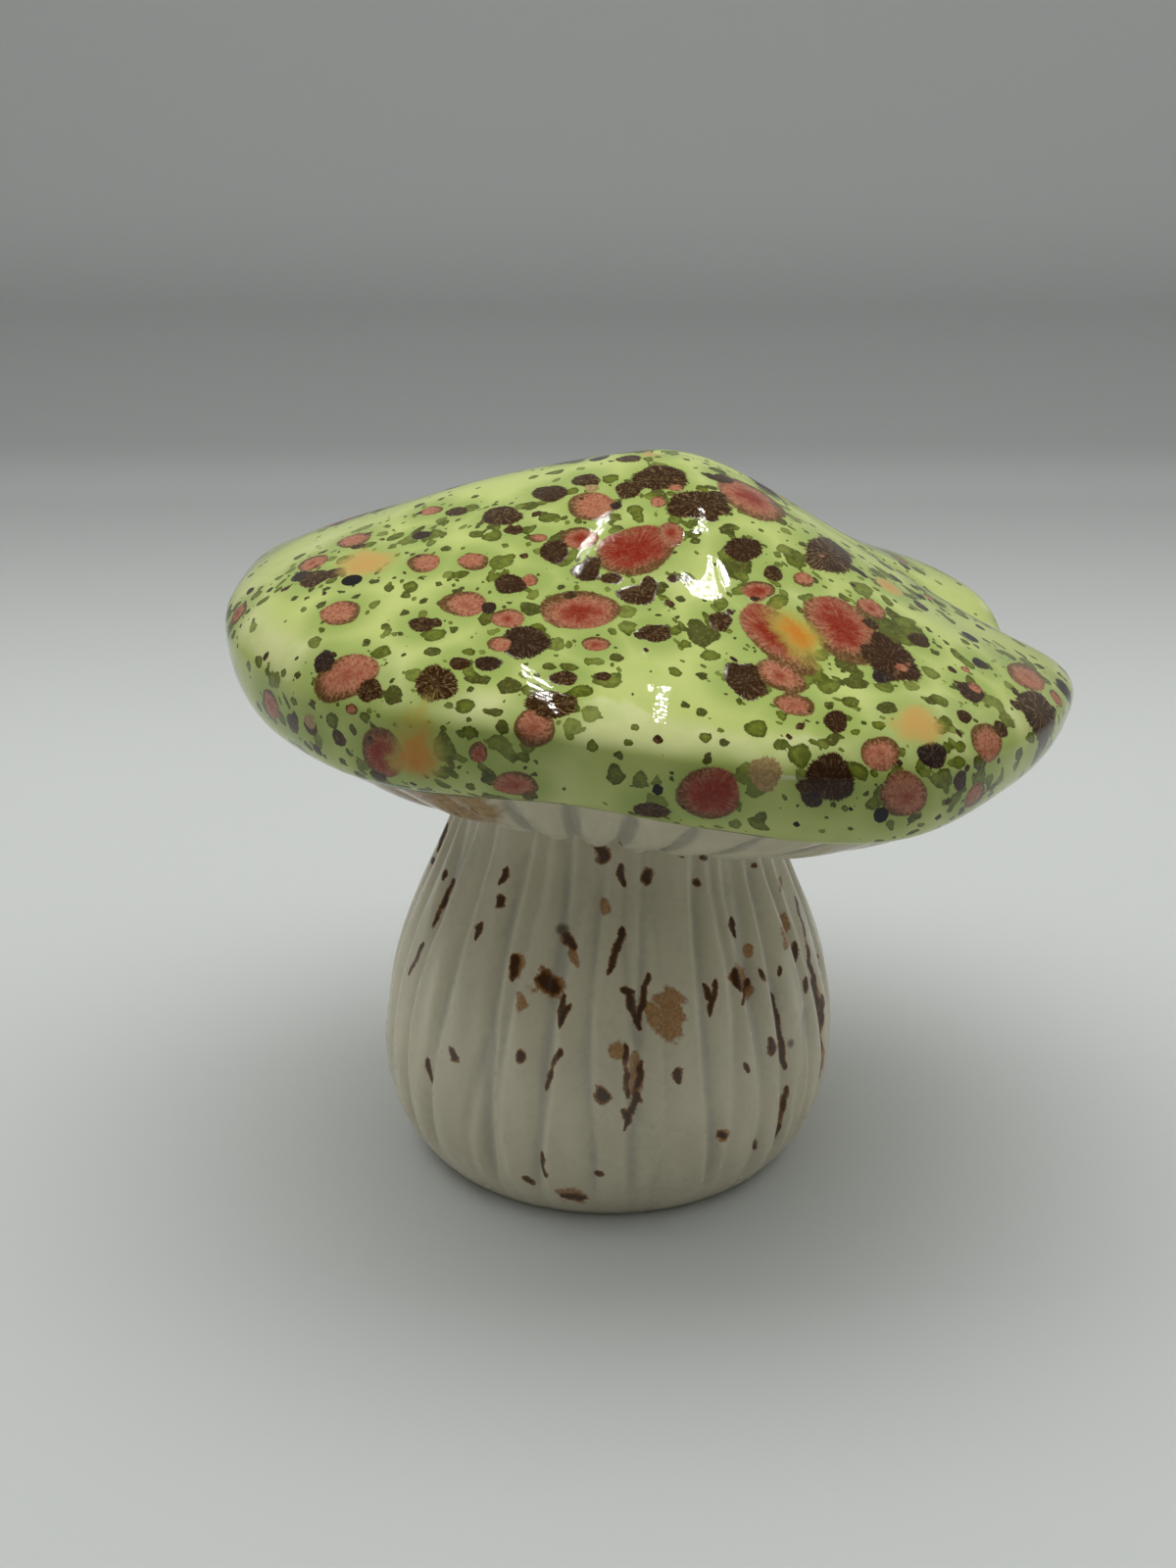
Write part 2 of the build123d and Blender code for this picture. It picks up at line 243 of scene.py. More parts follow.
# The cap's kinds of crystals, in the order in which they are laid: the table of those that the
# photograph shows, then how many are strewn on its other sides, their least and greatest width in
# millimetres, and how far apart they stay, as a share of their radii. The last value is how far
# the edges of that kind swing, as a share
crystal_plan = (
    ("orange", orange_crystals_px, 4, (5.0, 8.0), 1.1, 0.06),
    ("red", red_crystals_px, 36, (3.0, 9.0), 0.90, 0.03),
    ("brown", brown_crystals_px, 44, (2.2, 7.5), 0.80, 0.06),
    ("tan", tan_crystals_px, 3, (3.0, 5.0), 1.0, 0.08),
    ("leaf", green_crystals_px, 60, (1.4, 4.0), 0.8, 0.07),
    ("black", black_crystals_px, 4, (1.5, 3.0), 1.0, 0.0),
)
large_kinds = ("orange", "red", "brown")

# Small crystals that crowd round the large ones on every side: kind, share of them that lies
# outside the crowds, how many, widths and spacing. Then how far a crowd reaches past a crystal
crowd_plan = (
    ("leaf", 0.03, 1250, (0.7, 3.4), 0.50),
    ("brown", 0.0, 190, (0.8, 3.6), 0.45),
)
crowd_reach = 4.5 * MM

# Draws for each strewn or crowding crystal, some of which find no room, how far above the lip
# they stay, and how long a crystal of the photograph may be for its width, upright or slanted
strewn_draws = 60
crowd_draws = 12
lip_margin = 1.0 * MM
longest_upright = 1.35
longest_slanted = 2.4

# Strewn runs of the stem's back: how many, the greatest length and the greatest width
brown_strewn_runs = (70, 9 * MM, 1.6 * MM)
tan_strewn_runs = (10, 2 * MM, 3.6 * MM)

# Starting numbers of the random draws
cap_seed = 11
stem_seed = 7

# Points round each piece, then steps down the cap's top, round its rim, over its lip and along
# its underside, and steps down the stem
cap_columns = 552
stem_columns = 600
slip_columns = 480
crown_steps = 104
rim_steps = 17
lip_steps = 6
under_steps = 46
stem_steps = 122

# Noise of the glazes and of the paper, in cycles for each metre
grain_scale = 2600.0
fine_scale = 900.0
soft_scale = 260.0
cap_cloud_scale = 55.0
stem_cloud_scale = 70.0
cap_peel_scale = 420.0
stem_peel_scale = 170.0
wobble_scale = 1100.0
paper_cloud_scale = 9.0
paper_grain_scale = 1500.0

# Specks, one in a cell: cells for each metre, the share of the cells that have one away from the
# crowds and in them, and the greatest size in cells. Those of the stem's glaze are cells too
cap_speck_cells = ((480.0, 0.04, 0.40, 0.40), (900.0, 0.06, 0.35, 0.36))
stem_speck_scale = 160.0

# Tints of the cap's glaze beside those that a user may change, as linear red, green and blue
mottle_tint = (0.37, 0.50, 0.12)
crowd_tint = (0.26, 0.36, 0.080)
pool_and_shade_tint = (0.36, 0.42, 0.08)
leaf_brown_tint = (0.055, 0.045, 0.014)
leaf_olive_tint = (0.22, 0.25, 0.03)
leaf_light_tint = (0.22, 0.26, 0.05)
leaf_dark_tint = (0.045, 0.052, 0.005)
red_rim_tint = (0.120, 0.068, 0.020)
red_light_tint = (0.47, 0.27, 0.14)
red_dark_tint = (0.13, 0.022, 0.010)
brown_deep_tint = (0.024, 0.016, 0.014)
brown_light_tint = (0.13, 0.085, 0.045)
orange_rim_tint = (0.43, 0.37, 0.075)
orange_pale_tint = (0.60, 0.39, 0.13)
tan_tint = (0.30, 0.20, 0.085)
tan_light_tint = (0.42, 0.30, 0.13)
black_tint = (0.006, 0.006, 0.005)
lip_tint = (0.66, 0.66, 0.44)
lip_dark_tint = (0.05, 0.075, 0.02)
groove_shade_and_mottle_tint = (0.40, 0.40, 0.33)
gill_groove_shade_tint = (0.33, 0.32, 0.26)
stain_tints = ((0.24, 0.13, 0.035), (0.42, 0.23, 0.080))

# Tints of the stem's glaze
cream_tint = (0.52, 0.46, 0.34)
patch_tints = ((0.25, 0.105, 0.026), (0.46, 0.27, 0.11))
patch_middle_tint = (0.42, 0.22, 0.085)
run_tints = ((0.25, 0.105, 0.030), (0.055, 0.020, 0.006))
speck_tint = (0.10, 0.055, 0.03)

# Stage: the floor from its front to the backdrop's bend, its half width, the bend's radius and
# the backdrop's top, and the lamp over it, with its power in watts and its spread in degrees
floor_front, floor_back, floor_side = -1.1, 0.36, 1.4
backdrop_bend, backdrop_top = 0.05, 1.2
stage_steps = 24
lamp_spot = (0.02, 0.09, 0.55)
lamp_wide, lamp_deep = 1.05, 0.42
lamp_power, lamp_spread = 1.95, 130.0
paper_cloud_tint = (0.47, 0.49, 0.47)
diode_tint = (1.0, 0.98, 0.92)
air_tint = (0.98, 1.0, 0.99)

# Strips of small diodes above, which only the gloss of the glaze shows: name, corners, and the
# spacing of the dots in both directions, in millimetres. The dots of a strip lie in one layer
diode_height = 450.0
diode_layer = 1000.0
diode_strips = (
    ("diodes_left_back", ((-1, 222), (1, 200), (6, 200), (3, 222)), (2.2, 2.4)),
    ("diodes_left_middle", ((-55, 46), (-49, 46), (-33, 98), (-38, 98)), (3.2, 8.0)),
    ("diodes_left_front", ((-61, -32), (-55, -32), (-49, 46), (-55, 46)), (4.0, 20.0)),
    ("diodes_right_back", ((46, 168), (66, 168), (70, 245), (61, 245)), (6.5, 10.0)),
    ("diodes_right_middle", ((65.5, 120), (70.5, 120), (70.5, 136), (65.5, 136)), (0.8, 1.0)),
    ("diodes_right_front", ((71, -15), (83, -15), (84, 135), (74, 135)), (4.0, 12.0)),
)


def length(name, description, default):
    """A length that a user may change."""
    return bpy.props.FloatProperty(
        name=name, description=description, default=default, min=0.0, unit="LENGTH",
        subtype="DISTANCE",
    )


def colour(name, description, default):
    """A linear colour that a user may change."""
    return bpy.props.FloatVectorProperty(
        name=name, description=description, default=default, size=3, min=0.0, max=1.0,
        subtype="COLOR",
    )


class MushroomSizes(bpy.types.PropertyGroup):
    """Sizes of the mushroom and of its joint."""

    cap_reach: length("Cap reach", "From the cap's middle to its rim", 57.5 * MM)
    cap_shift: length("Cap shift", "How far the cap's middle lies beside the neck's", 4.5 * MM)
    crown_lift: length("Crown lift", "Height of the crown above the joint", 45.1 * MM)
    rim_lift: length("Rim lift", "Height of the rim's widest line above the joint", 19.5 * MM)
    rim_wave: length("Rim wave", "How far the rim's line waves up and down", 6.0 * MM)
    rim_rise: length("Rim rise", "Rounding of the rim above its widest line", 12.0 * MM)
    rim_drop: length("Rim drop", "Rounding of the rim below its widest line", 11.0 * MM)
    rim_tuck: length("Rim tuck", "How far the rim turns in below", 5.0 * MM)
    lip_step: length("Lip step", "Width of the lip between the two glazes", 0.6 * MM)
    gill_count: bpy.props.IntProperty(
        name="Gills", description="Number of gills under the cap", default=40, min=8
    )
    gill_depth: length("Gill depth", "Half the height of a gill", 0.8 * MM)
    neck_radius: length("Neck radius", "Radius of the stem at the joint", 21.8 * MM)
    neck_height: length("Neck height", "Height of the stem at the joint", 54.3 * MM)
    neck_shift: length("Neck shift", "How far the neck leans to the right", 1.8 * MM)
    neck_tilt: bpy.props.FloatProperty(
        name="Neck tilt",
        description="Tilt of the joint",
        default=float(np.radians(8.0)),
        unit="ROTATION",
        subtype="ANGLE",
    )
    slip_thickness: length("Slip thickness", "Thickness of the joining slip", 1.2 * MM)
    slip_bead: length("Slip bead", "How far the slip stands out of the joint", 0.4 * MM)
    foot_radius: length("Foot radius", "Radius of the foot's face", 26.1 * MM)
    belly_radius: length("Belly radius", "Radius of the stem at its widest", 32.4 * MM)
    flute_depth: length("Flute depth", "Depth of the grooves round the stem", 0.9 * MM)
    flute_width: length("Flute width", "Width of the grooves round the stem", 2.6 * MM)
    cap_wall: length("Cap wall", "Wall of the cap", 4.0 * MM)
    stem_wall: length("Stem wall", "Wall of the stem", 4.5 * MM)
    pour_radius: length("Pour hole radius", "Hole between cap and stem", 13.0 * MM)
    foot_thickness: length("Foot thickness", "Thickness of the foot", 5.0 * MM)
    vent_radius: length("Vent radius", "Radius of the foot's vent", 1.6 * MM)
    vent_offset: length("Vent offset", "From the foot's middle to the vent", 9.0 * MM)


class MushroomGlazes(bpy.types.PropertyGroup):
    """Colours of the mushroom's glazes and of its stage."""

    green: colour("Green glaze", "Body of the cap's glaze", (0.54, 0.610, 0.200))
    # Also paints sheen on the cap's upper rim and in the pale patches
    pale: colour("Pale glaze", "Cap's glaze where it runs thin", (0.70, 0.715, 0.36))
    red: colour("Red crystals", "Middle of the red crystals", (0.25, 0.020, 0.008))
    pink: colour("Pink crystals", "Outer part of the red crystals", (0.42, 0.148, 0.084))
    brown: colour("Brown crystals", "Needles of the brown crystals", (0.040, 0.017, 0.006))
    orange: colour("Orange crystals", "Soft orange patches", (0.58, 0.215, 0.022))
    leaf: colour("Dark green crystals", "Small dark green crystals", (0.110, 0.130, 0.012))
    white: colour("White glaze", "Glaze of the stem and of the underside", (0.695, 0.635, 0.465))
    floor: colour("Floor", "Floor and backdrop", (0.565, 0.582, 0.568))


def around(azimuth, table, column):
    """Value of a table's column at azimuths in degrees: a cubic through the rows on both sides,
    with slopes from their neighbours, joined smoothly right round."""
    rows = np.array(table, float)
    places = np.concatenate([rows[-2:, 0] - 360, rows[:, 0], rows[:2, 0] + 360])
    values = np.concatenate([rows[-2:, column], rows[:, column], rows[:2, column]])
    azimuth = np.mod(azimuth, 360)
    return through(azimuth, places, values)


def along(share, table, column):
    """Value of a table's column at shares of a height: the same cubic, straight past its ends."""
    rows = np.array(table, float)
    head = 2 * rows[:1] - rows[1:2]
    tail = 2 * rows[-1:] - rows[-2:-1]
    rows = np.concatenate([head, rows, tail])
    return through(np.clip(share, 0, 1), rows[:, 0], rows[:, column])


def through(spot, places, values):
    """Cubic Hermite curve: each slope is that between the neighbours on both sides."""
    after = np.clip(np.searchsorted(places, spot, side="right"), 2, len(places) - 2)
    a0, a1, a2, a3 = (places[after + step] for step in (-2, -1, 0, 1))
    v0, v1, v2, v3 = (values[after + step] for step in (-2, -1, 0, 1))
    span = a2 - a1
    t = (spot - a1) / span
    slope_in = span * (v2 - v0) / (a2 - a0)
    slope_out = span * (v3 - v1) / (a3 - a1)
    start = (2 * t**3 - 3 * t**2 + 1) * v1 + (t**3 - 2 * t**2 + t) * slope_in
    return start + (3 * t**2 - 2 * t**3) * v2 + (t**3 - t**2) * slope_out


def ring_points(azimuth, radius, middle_x, middle_y, height):
    """Rows of points round an upright axis: middle plus radius times cosine and sine."""
    turn = np.radians(azimuth)
    x = middle_x + radius * np.cos(turn)
    y = middle_y + radius * np.sin(turn)
    return np.stack(np.broadcast_arrays(x, y, height), axis=-1)


def unit(vectors):
    """Vectors of length 1, or 0 where they have none."""
    return vectors / np.maximum(np.linalg.norm(vectors, axis=-1, keepdims=True), 1e-12)


def hand_wave(points):
    """Slow unevenness of a hand-finished casting: a sum of sines of a point's place."""
    height, length_scale = 0.22 * MM, 9 * MM
    x, y, z = (points[..., axis] / length_scale for axis in range(3))
    wave = np.sin(1.1 * x + 0.6 * y + 0.9) * np.sin(0.8 * y - 0.5 * x + 2.1)
    wave = wave + 0.6 * np.sin(1.9 * x - 1.3 * y + 1.7 * z) * np.sin(1.5 * y + 0.7 * z + 0.4)
    return height * wave


def neck_frame(sizes, share):
    """Middle, sideways and upward directions of the stem's ring at a share of its height: it
    moves over with the square of the share and tilts with its cube."""
    tilt = sizes.neck_tilt * share**3
    zero = np.zeros_like(share)
    middle = np.stack([sizes.neck_shift * share**2, zero, sizes.neck_height * share], axis=-1)
    side = np.stack([np.cos(tilt), zero, -np.sin(tilt)], axis=-1)
    rise = np.stack([np.sin(tilt), zero, np.cos(tilt)], axis=-1)
    return middle, side, rise


def tilted_ring(sizes, share, azimuth, radius, lift):
    """Rows of points round the stem's own axis, each row lifted along it."""
    middle, side, rise = neck_frame(sizes, np.asarray(share, float))
    turn = np.radians(azimuth)
    out = (radius * np.cos(turn))[..., None] * side
    depth = (radius * np.sin(turn))[..., None] * np.array([0.0, 1.0, 0.0])
    return middle + out + depth + np.asarray(lift)[..., None] * rise


def cap_rows(sizes):
    """Rows of the cap from the crown outwards, over the rim, along the gilled underside, and
    back inside. The top is the rim's height, a rounding and a bell: rim + rise * (1 - s^3.4)^0.5
    + rest * (1 + cos(180 s^0.9)) / 2. The rounding below follows a quarter ellipse, and the
    underside bows down between the lip and the seat, with rounded gills and narrow grooves
    between them. Returns the outer rows, the inner ones, both ends, and which row the lip is."""
    azimuth = np.linspace(0, 360, cap_columns, endpoint=False)
    reach = sizes.cap_reach * around(azimuth, lobe_shares, 1)
    seat_height = sizes.neck_height + sizes.slip_thickness
    rim = seat_height + sizes.rim_lift + sizes.rim_wave * around(azimuth, lobe_shares, 2)
    rise = sizes.rim_rise * around(azimuth, lobe_shares, 3)
    drop = sizes.rim_drop * around(azimuth, lobe_shares, 4)
    crown = seat_height + sizes.crown_lift
    middle = sizes.neck_shift + sizes.cap_shift

    def top(share, inset, depth):
        radius = (reach - inset) * share
        part = radius / reach
        rounding = np.sqrt(np.clip(1 - part**rim_fullness, 0, 1))
        bell = (1 + np.cos(np.pi * part**crown_spread)) / 2
        height = rim + rise * rounding + (crown - rim - rise) * bell
        return ring_points(azimuth, radius, middle, 0.0, height - depth)

    pace = np.linspace(0, 1, crown_steps)[1:, None]
    crown_rows = top(pace * (2 - pace), 0.0, 0.0)

    full = np.radians(rim_turn)
    turn = np.linspace(0, full, rim_steps)[1:, None]
    tuck = sizes.rim_tuck * (1 - np.cos(turn)) / (1 - np.cos(full))
    height = rim - drop * np.sin(turn) / np.sin(full)
    rim_rows = ring_points(azimuth, reach - tuck, middle, 0.0, height)

    edge = rim_rows[-1]
    lip_radius = reach - sizes.rim_tuck - sizes.lip_step
    lip = ring_points(azimuth, lip_radius, middle, 0.0, rim - drop)
    bead = np.linspace(0, np.pi, lip_steps)[1:-1, None, None]
    bulge = lip_bead * np.sin(bead) * np.array([0.0, 0.0, -1.0])
    lip_rows = edge + (lip - edge) * (1 - np.cos(bead)) / 2 + bulge

    seat_radius = np.full_like(azimuth, sizes.neck_radius + sizes.slip_bead)
    seat = tilted_ring(sizes, 1.0, azimuth, seat_radius, sizes.slip_thickness)

    def under(share, depth, gills):
        inwards = share[..., 0]
        bow = (lip[:, 2] - seat[:, 2]) * (inwards - inwards**1.7)
        wander = 2.2 * np.sin(np.radians(3 * azimuth + 140 * inwards)) * (1 - inwards)
        half_turns = sizes.gill_count / 2 * (azimuth + 0.5 * wander)
        pleat = np.abs(np.cos(np.radians(half_turns))) ** 0.75
        uneven = 0.8 + 0.2 * np.sin(np.radians(7 * azimuth + 60))
        fade = np.sqrt(np.clip(4 * inwards * (1 - inwards), 0, 1))
        down = gills * sizes.gill_depth * fade * uneven * (2 * pleat - 1)
        sunk = np.stack([0 * bow, 0 * bow, -(bow + down) + depth], axis=-1)
        return seat + (lip - seat) * share + sunk

    under_rows = under(np.linspace(1, 0, under_steps)[:, None, None], 0.0, 1.0)
    hole = np.full_like(azimuth, sizes.pour_radius)
    mouth = tilted_ring(sizes, 1.0, azimuth, hole, sizes.slip_thickness)
    throat = tilted_ring(sizes, 1.0, azimuth, hole, sizes.slip_thickness + sizes.cap_wall)
    floor_rows = under(np.array([0.30, 0.60, 0.85])[:, None, None], sizes.cap_wall, 0.0)
    inner_shares = np.array([1.0, 0.88, 0.65, 0.40, 0.15])[:, None]
    inner = top(inner_shares, 2 * sizes.cap_wall, sizes.cap_wall)
    outer = np.concatenate([crown_rows, rim_rows, lip_rows, under_rows])
    inside = np.concatenate([mouth[None], throat[None], floor_rows, inner])
    poles = np.array([[middle, 0, crown], [middle, 0, crown - sizes.cap_wall]])
    return outer, inside, poles, len(crown_rows) + len(rim_rows) + len(lip_rows) // 2


def groove_bell(degrees, radius, width, sharpness):
    """Bell across the skin: exp(-(sharpness * away / width)^2), away being the distance round a
    ring from the groove. Two sharpnesses are those of the flanks, first the one where the
    degrees from the groove are above 0."""
    away = np.radians((degrees + 180) % 360 - 180) * radius / width
    greater, less = np.broadcast_to(sharpness, 2)
    return np.exp(-((np.where(away > 0, greater, less) * away) ** 2))


def stem_rows(sizes):
    """Rows of the stem from the neck down its fluted skin, across the foot, up the vent, and up
    the hollow back to the neck. A groove is a bell across the skin, steeper on the side nearer
    to the front or back, that wanders a little with height. Side grooves run into some of
    them. Returns the rows of the skin and the others."""
    azimuth = np.linspace(0, 360, stem_columns, endpoint=False)
    pace = np.linspace(1, 0, stem_steps)
    foot_share = 0.12
    share = np.where(pace < foot_share, pace**1.5 / foot_share**0.5, pace)[:, None]
    swell = along(share, stem_shares, 1)
    flutes = np.clip(along(share, stem_shares, 2), 0, 1)

    def swollen(share, swell):
        narrow = np.where(share < belly_share, sizes.foot_radius, sizes.neck_radius)
        return narrow + (sizes.belly_radius - narrow) * swell

    radius = swollen(share, swell)
    depth = np.zeros((len(share), len(azimuth)))
    for number, (groove, part) in enumerate(groove_shares):
        wander = 1.3 * np.sin(2 * np.pi * (0.9 * share + 0.37 * number))
        forward = np.sin(np.radians(groove)) * np.cos(np.radians(groove)) > 0
        flanks = (3.8, 1.9) if forward else (1.9, 3.8)
        away = azimuth - groove - wander
        depth += part * groove_bell(away, radius, sizes.flute_width, flanks)
    for groove, offset, start, join, part in branch_shares:
        way = np.clip((share - join) / (start - join), 0, 1)
        away = azimuth - groove - offset * way**0.8
        strength = np.clip(6 * way, 0, 1) * np.clip(6 * (1.15 - way), 0, 1)
        strength = np.where((share - join) * (start - join) < 0, 0, strength)
        depth += part * strength * groove_bell(away, radius, sizes.flute_width, 2.4)
    depth = np.minimum(depth, 1.15)
    ridge = 0.18 * np.sin(np.radians(37 * azimuth) + 5 * share) * np.sin(3 * np.pi * share)
    radius = radius - sizes.flute_depth * flutes * (depth - ridge)
    skin = tilted_ring(sizes, share, azimuth, radius, np.zeros_like(share))

    foot = skin[-1]
    vent = ring_points(azimuth, sizes.vent_radius, 0.0, sizes.vent_offset, 0.0)
    step = np.array([0.03, 0.12, 0.35, 0.65, 1.0])[:, None, None]
    foot_rows = foot + (vent - foot) * step
    vent_top = vent + np.array([0.0, 0.0, sizes.foot_thickness])
    floor_radius = sizes.foot_radius - sizes.stem_wall
    floor = ring_points(azimuth, floor_radius, 0.0, 0.0, sizes.foot_thickness)
    rows = np.array([row for row in stem_shares if row[0] > 0.13])
    inner_radius = swollen(rows[:, :1], rows[:, 1:2]) - sizes.stem_wall
    inner_radius = np.broadcast_to(inner_radius, (len(rows), len(azimuth)))
    hollow = tilted_ring(sizes, rows[:, :1], azimuth, inner_radius, np.zeros((len(rows), 1)))
    inside = np.concatenate([foot_rows, vent_top[None], floor[None], hollow])
    return skin, inside


def bead_rows(sizes):
    """Rows of the joining slip: a flattened ring whose outer side is a half circle that stands
    out of the joint unevenly, by the bead's width times a slow sum of sines."""
    azimuth = np.linspace(0, 360, slip_columns, endpoint=False)
    turn = np.radians(azimuth)
    uneven = 0.55 + 0.3 * np.sin(5 * turn + 1.0) * np.sin(3 * turn) + 0.15 * np.sin(17 * turn)
    back = 0.5 * MM
    out = sizes.neck_radius - back + (back + sizes.slip_bead) * np.clip(uneven, 0, 1)
    inner = np.full_like(azimuth, sizes.neck_radius - sizes.stem_wall)
    half = sizes.slip_thickness / 2
    sweep = np.linspace(np.pi / 2, -np.pi / 2, 13)[:, None]
    radius = out - half * (1 - np.cos(sweep)) * 0.6
    outer = tilted_ring(sizes, np.ones_like(sweep), azimuth, radius, half + half * np.sin(sweep))
    ends = np.array([0.0, sizes.slip_thickness])[:, None]
    inner = tilted_ring(sizes, np.ones_like(ends), azimuth, np.stack([inner, inner]), ends)
    return np.concatenate([outer, inner])


def new_object(name, points, faces):
    """A smooth mesh of points and faces, as an object of the scene."""
    mesh = bpy.data.meshes.new(name)
    mesh.from_pydata(points.tolist(), [], faces)
    mesh.polygons.foreach_set("use_smooth", np.ones(len(mesh.polygons), bool))
    mesh.update()
    item = bpy.data.objects.new(name, mesh)
    bpy.context.scene.collection.objects.link(item)
    return item


def lay_mesh(name, rows, poles=None):
    """Mesh of rows of points that run right round: each is joined to the next by four-sided
    faces. Two poles close its ends with triangles, or else the last row joins the first."""
    count, columns = rows.shape[:2]
    index = np.arange(count * columns).reshape(count, columns)
    follow = np.roll(index, -1, axis=1)
    lower = np.roll(index, -1, axis=0)
    lower_follow = np.roll(follow, -1, axis=0)
    quads = np.stack([index, lower, lower_follow, follow], axis=-1)
    points = rows.reshape(-1, 3)
    if poles is None:
        faces = quads.reshape(-1, 4).tolist()
    else:
        faces = quads[:-1].reshape(-1, 4).tolist()
        first, last = len(points), len(points) + 1
        points = np.concatenate([points, poles])
        head = np.stack([np.full(columns, first), index[0], follow[0]], axis=-1)
        tail = np.stack([index[-1], np.full(columns, last), follow[-1]], axis=-1)
        faces += head.tolist() + tail.tolist()
    return new_object(name, points, faces), points, faces


def write_field(piece, name, values):
    """A number, or three, at each vertex, for the piece's material to read."""
    kind, key = ("FLOAT", "value") if values.ndim == 1 else ("FLOAT_VECTOR", "vector")
    field = piece.data.attributes.new(name, kind, "POINT")
    field.data.foreach_set(key, values.astype(np.float32).ravel())


def camera_axes():
    """Forward, right and up directions of the camera that looks along +Y and dips."""
    dip = np.radians(camera_dip)
    forward = np.array([0.0, np.cos(dip), -np.sin(dip)])
    return forward, np.array([1.0, 0.0, 0.0]), np.array([0.0, np.sin(dip), np.cos(dip)])


def pixel_ray(x, y):
    """Direction from the camera's eye through a pixel of the photograph."""
    forward, right, up = camera_axes()
    across = (x - frame_wide_px / 2) / camera_focus_px
    rise = (frame_tall_px / 2 - y) / camera_focus_px
    ray = forward + across * right + rise * up
    return ray / np.linalg.norm(ray)


def pixel_of(point):
    """The photograph's pixel in which a point shows."""
    forward, right, up = camera_axes()
    away = np.asarray(point) - np.array(camera_eye)
    depth = away @ forward
    x = frame_wide_px / 2 + camera_focus_px * (away @ right) / depth
    y = frame_tall_px / 2 - camera_focus_px * (away @ up) / depth
    return np.array([x, y])


def touch(tree, x, y):
    """Where a pixel's ray meets a piece, and the outward direction there, or None."""
    spot, facing, _, _ = tree.ray_cast(Vector(camera_eye), Vector(pixel_ray(x, y)))
    if spot is None:
        return None
    return np.array(spot), np.array(facing)


def flat_axes(facing):
    """Two directions along a surface: level to the right, and up its slope."""
    level = np.cross(np.array([0.0, 1.0, 0.0]), facing)
    if np.linalg.norm(level) < 0.2:
        level = np.array([1.0, 0.0, 0.0]) - facing[0] * facing
    level = level / np.linalg.norm(level)
    return level, np.cross(facing, level)


def seen_crystals(tree, table, chance):
    """Crystals from the photograph's pixels: the ray through each middle gives its place. Where
    J takes a step along the surface to pixels and E takes those to the ellipse's half axes, the
    half axes on the surface are the eigenvectors of (E J)^T (E J) over the roots of its values.
    Neither is longer for the other than the limits say. A ray that misses gives no crystal."""
    crystals = []
    step = 0.5 * MM
    for x, y, wide, tall, *own in table:
        number = own[0] if own else chance.random()
        slant = np.radians(own[1]) if len(own) > 1 else 0.0
        found = touch(tree, x, y)
        if found is None:
            continue
        spot, facing = found
        level, slope = flat_axes(facing)
        moved = np.array([pixel_of(spot + step * way) for way in (level, slope)])
        grow = (moved - pixel_of(spot)) / step
        turn = np.array([[np.cos(slant), -np.sin(slant)], [np.sin(slant), np.cos(slant)]])
        fitted = grow @ turn / (np.array([wide, tall]) / 2)
        values, axes = np.linalg.eigh(fitted @ fitted.T)
        half = 1 / np.sqrt(values)
        half = np.minimum(half, (longest_slanted if slant else longest_upright) * half[::-1])
        one, two = (half[k] * (axes[0, k] * level + axes[1, k] * slope) for k in range(2))
        crystals.append((spot, facing, one, two, number))
    return crystals


def turned_crystal(spot, facing, size, flattest, chance):
    """A crystal turned by chance, and flattened by chance down to the flattest share."""
    level, slope = flat_axes(facing)
    angle = chance.uniform(0, np.pi)
    one = np.cos(angle) * level + np.sin(angle) * slope
    two = np.cross(facing, one)
    return spot, facing, one * size, two * size * chance.uniform(flattest, 1.0), chance.random()


def strewn_crystals(tree, points, facings, weights, count, sizes_mm, spare, chance, taken):
    """Crystals strewn over the sides that the photograph doesn't show, each clear of those
    placed before it by their radii times the spare share."""
    crystals = []
    order = chance.choice(len(points), size=strewn_draws * count, p=weights / weights.sum())
    eye = np.array(camera_eye)
    for index in order:
        if len(crystals) == count:
            break
        spot, facing = points[index], facings[index]
        ray = spot - eye
        distance = np.linalg.norm(ray)
        hit = tree.ray_cast(Vector(camera_eye), Vector(ray / distance))
        size = MM * chance.uniform(*sizes_mm) / 2
        in_view = hit[0] is not None and hit[3] > distance - 0.6 * MM
        if in_view and abs(facing @ ray) > 0.05 * distance:
            continue
        if any(np.linalg.norm(spot - place) < spare * (size + radius) for place, radius in taken):
            continue
        crystals.append(turned_crystal(spot, facing, size, 0.7, chance))
        taken.append((spot, size))
    return crystals


def crowd_crystals(points, facings, weights, count, sizes_mm, spare, chance, taken):
    """Small crystals strewn where the weights are high, on every side, more of them small than
    large, each clear of those placed before it by their radii times the spare share."""
    crystals = []
    places = np.array([place for place, _ in taken])
    radii = np.array([radius for _, radius in taken])
    order = chance.choice(len(points), size=crowd_draws * count, p=weights / weights.sum())
    low, high = sizes_mm
    for index in order:
        if len(crystals) == count:
            break
        spot, facing = points[index], facings[index]
        size = MM * (low + (high - low) * chance.random() ** 2) / 2
        if np.any(np.linalg.norm(places - spot, axis=1) < spare * (radii + size)):
            continue
        crystals.append(turned_crystal(spot, facing, size, 0.55, chance))
        places = np.concatenate([places, spot[None]])
        radii = np.append(radii, size)
    taken.extend(zip(places[len(taken):], radii[len(taken):]))
    return crystals


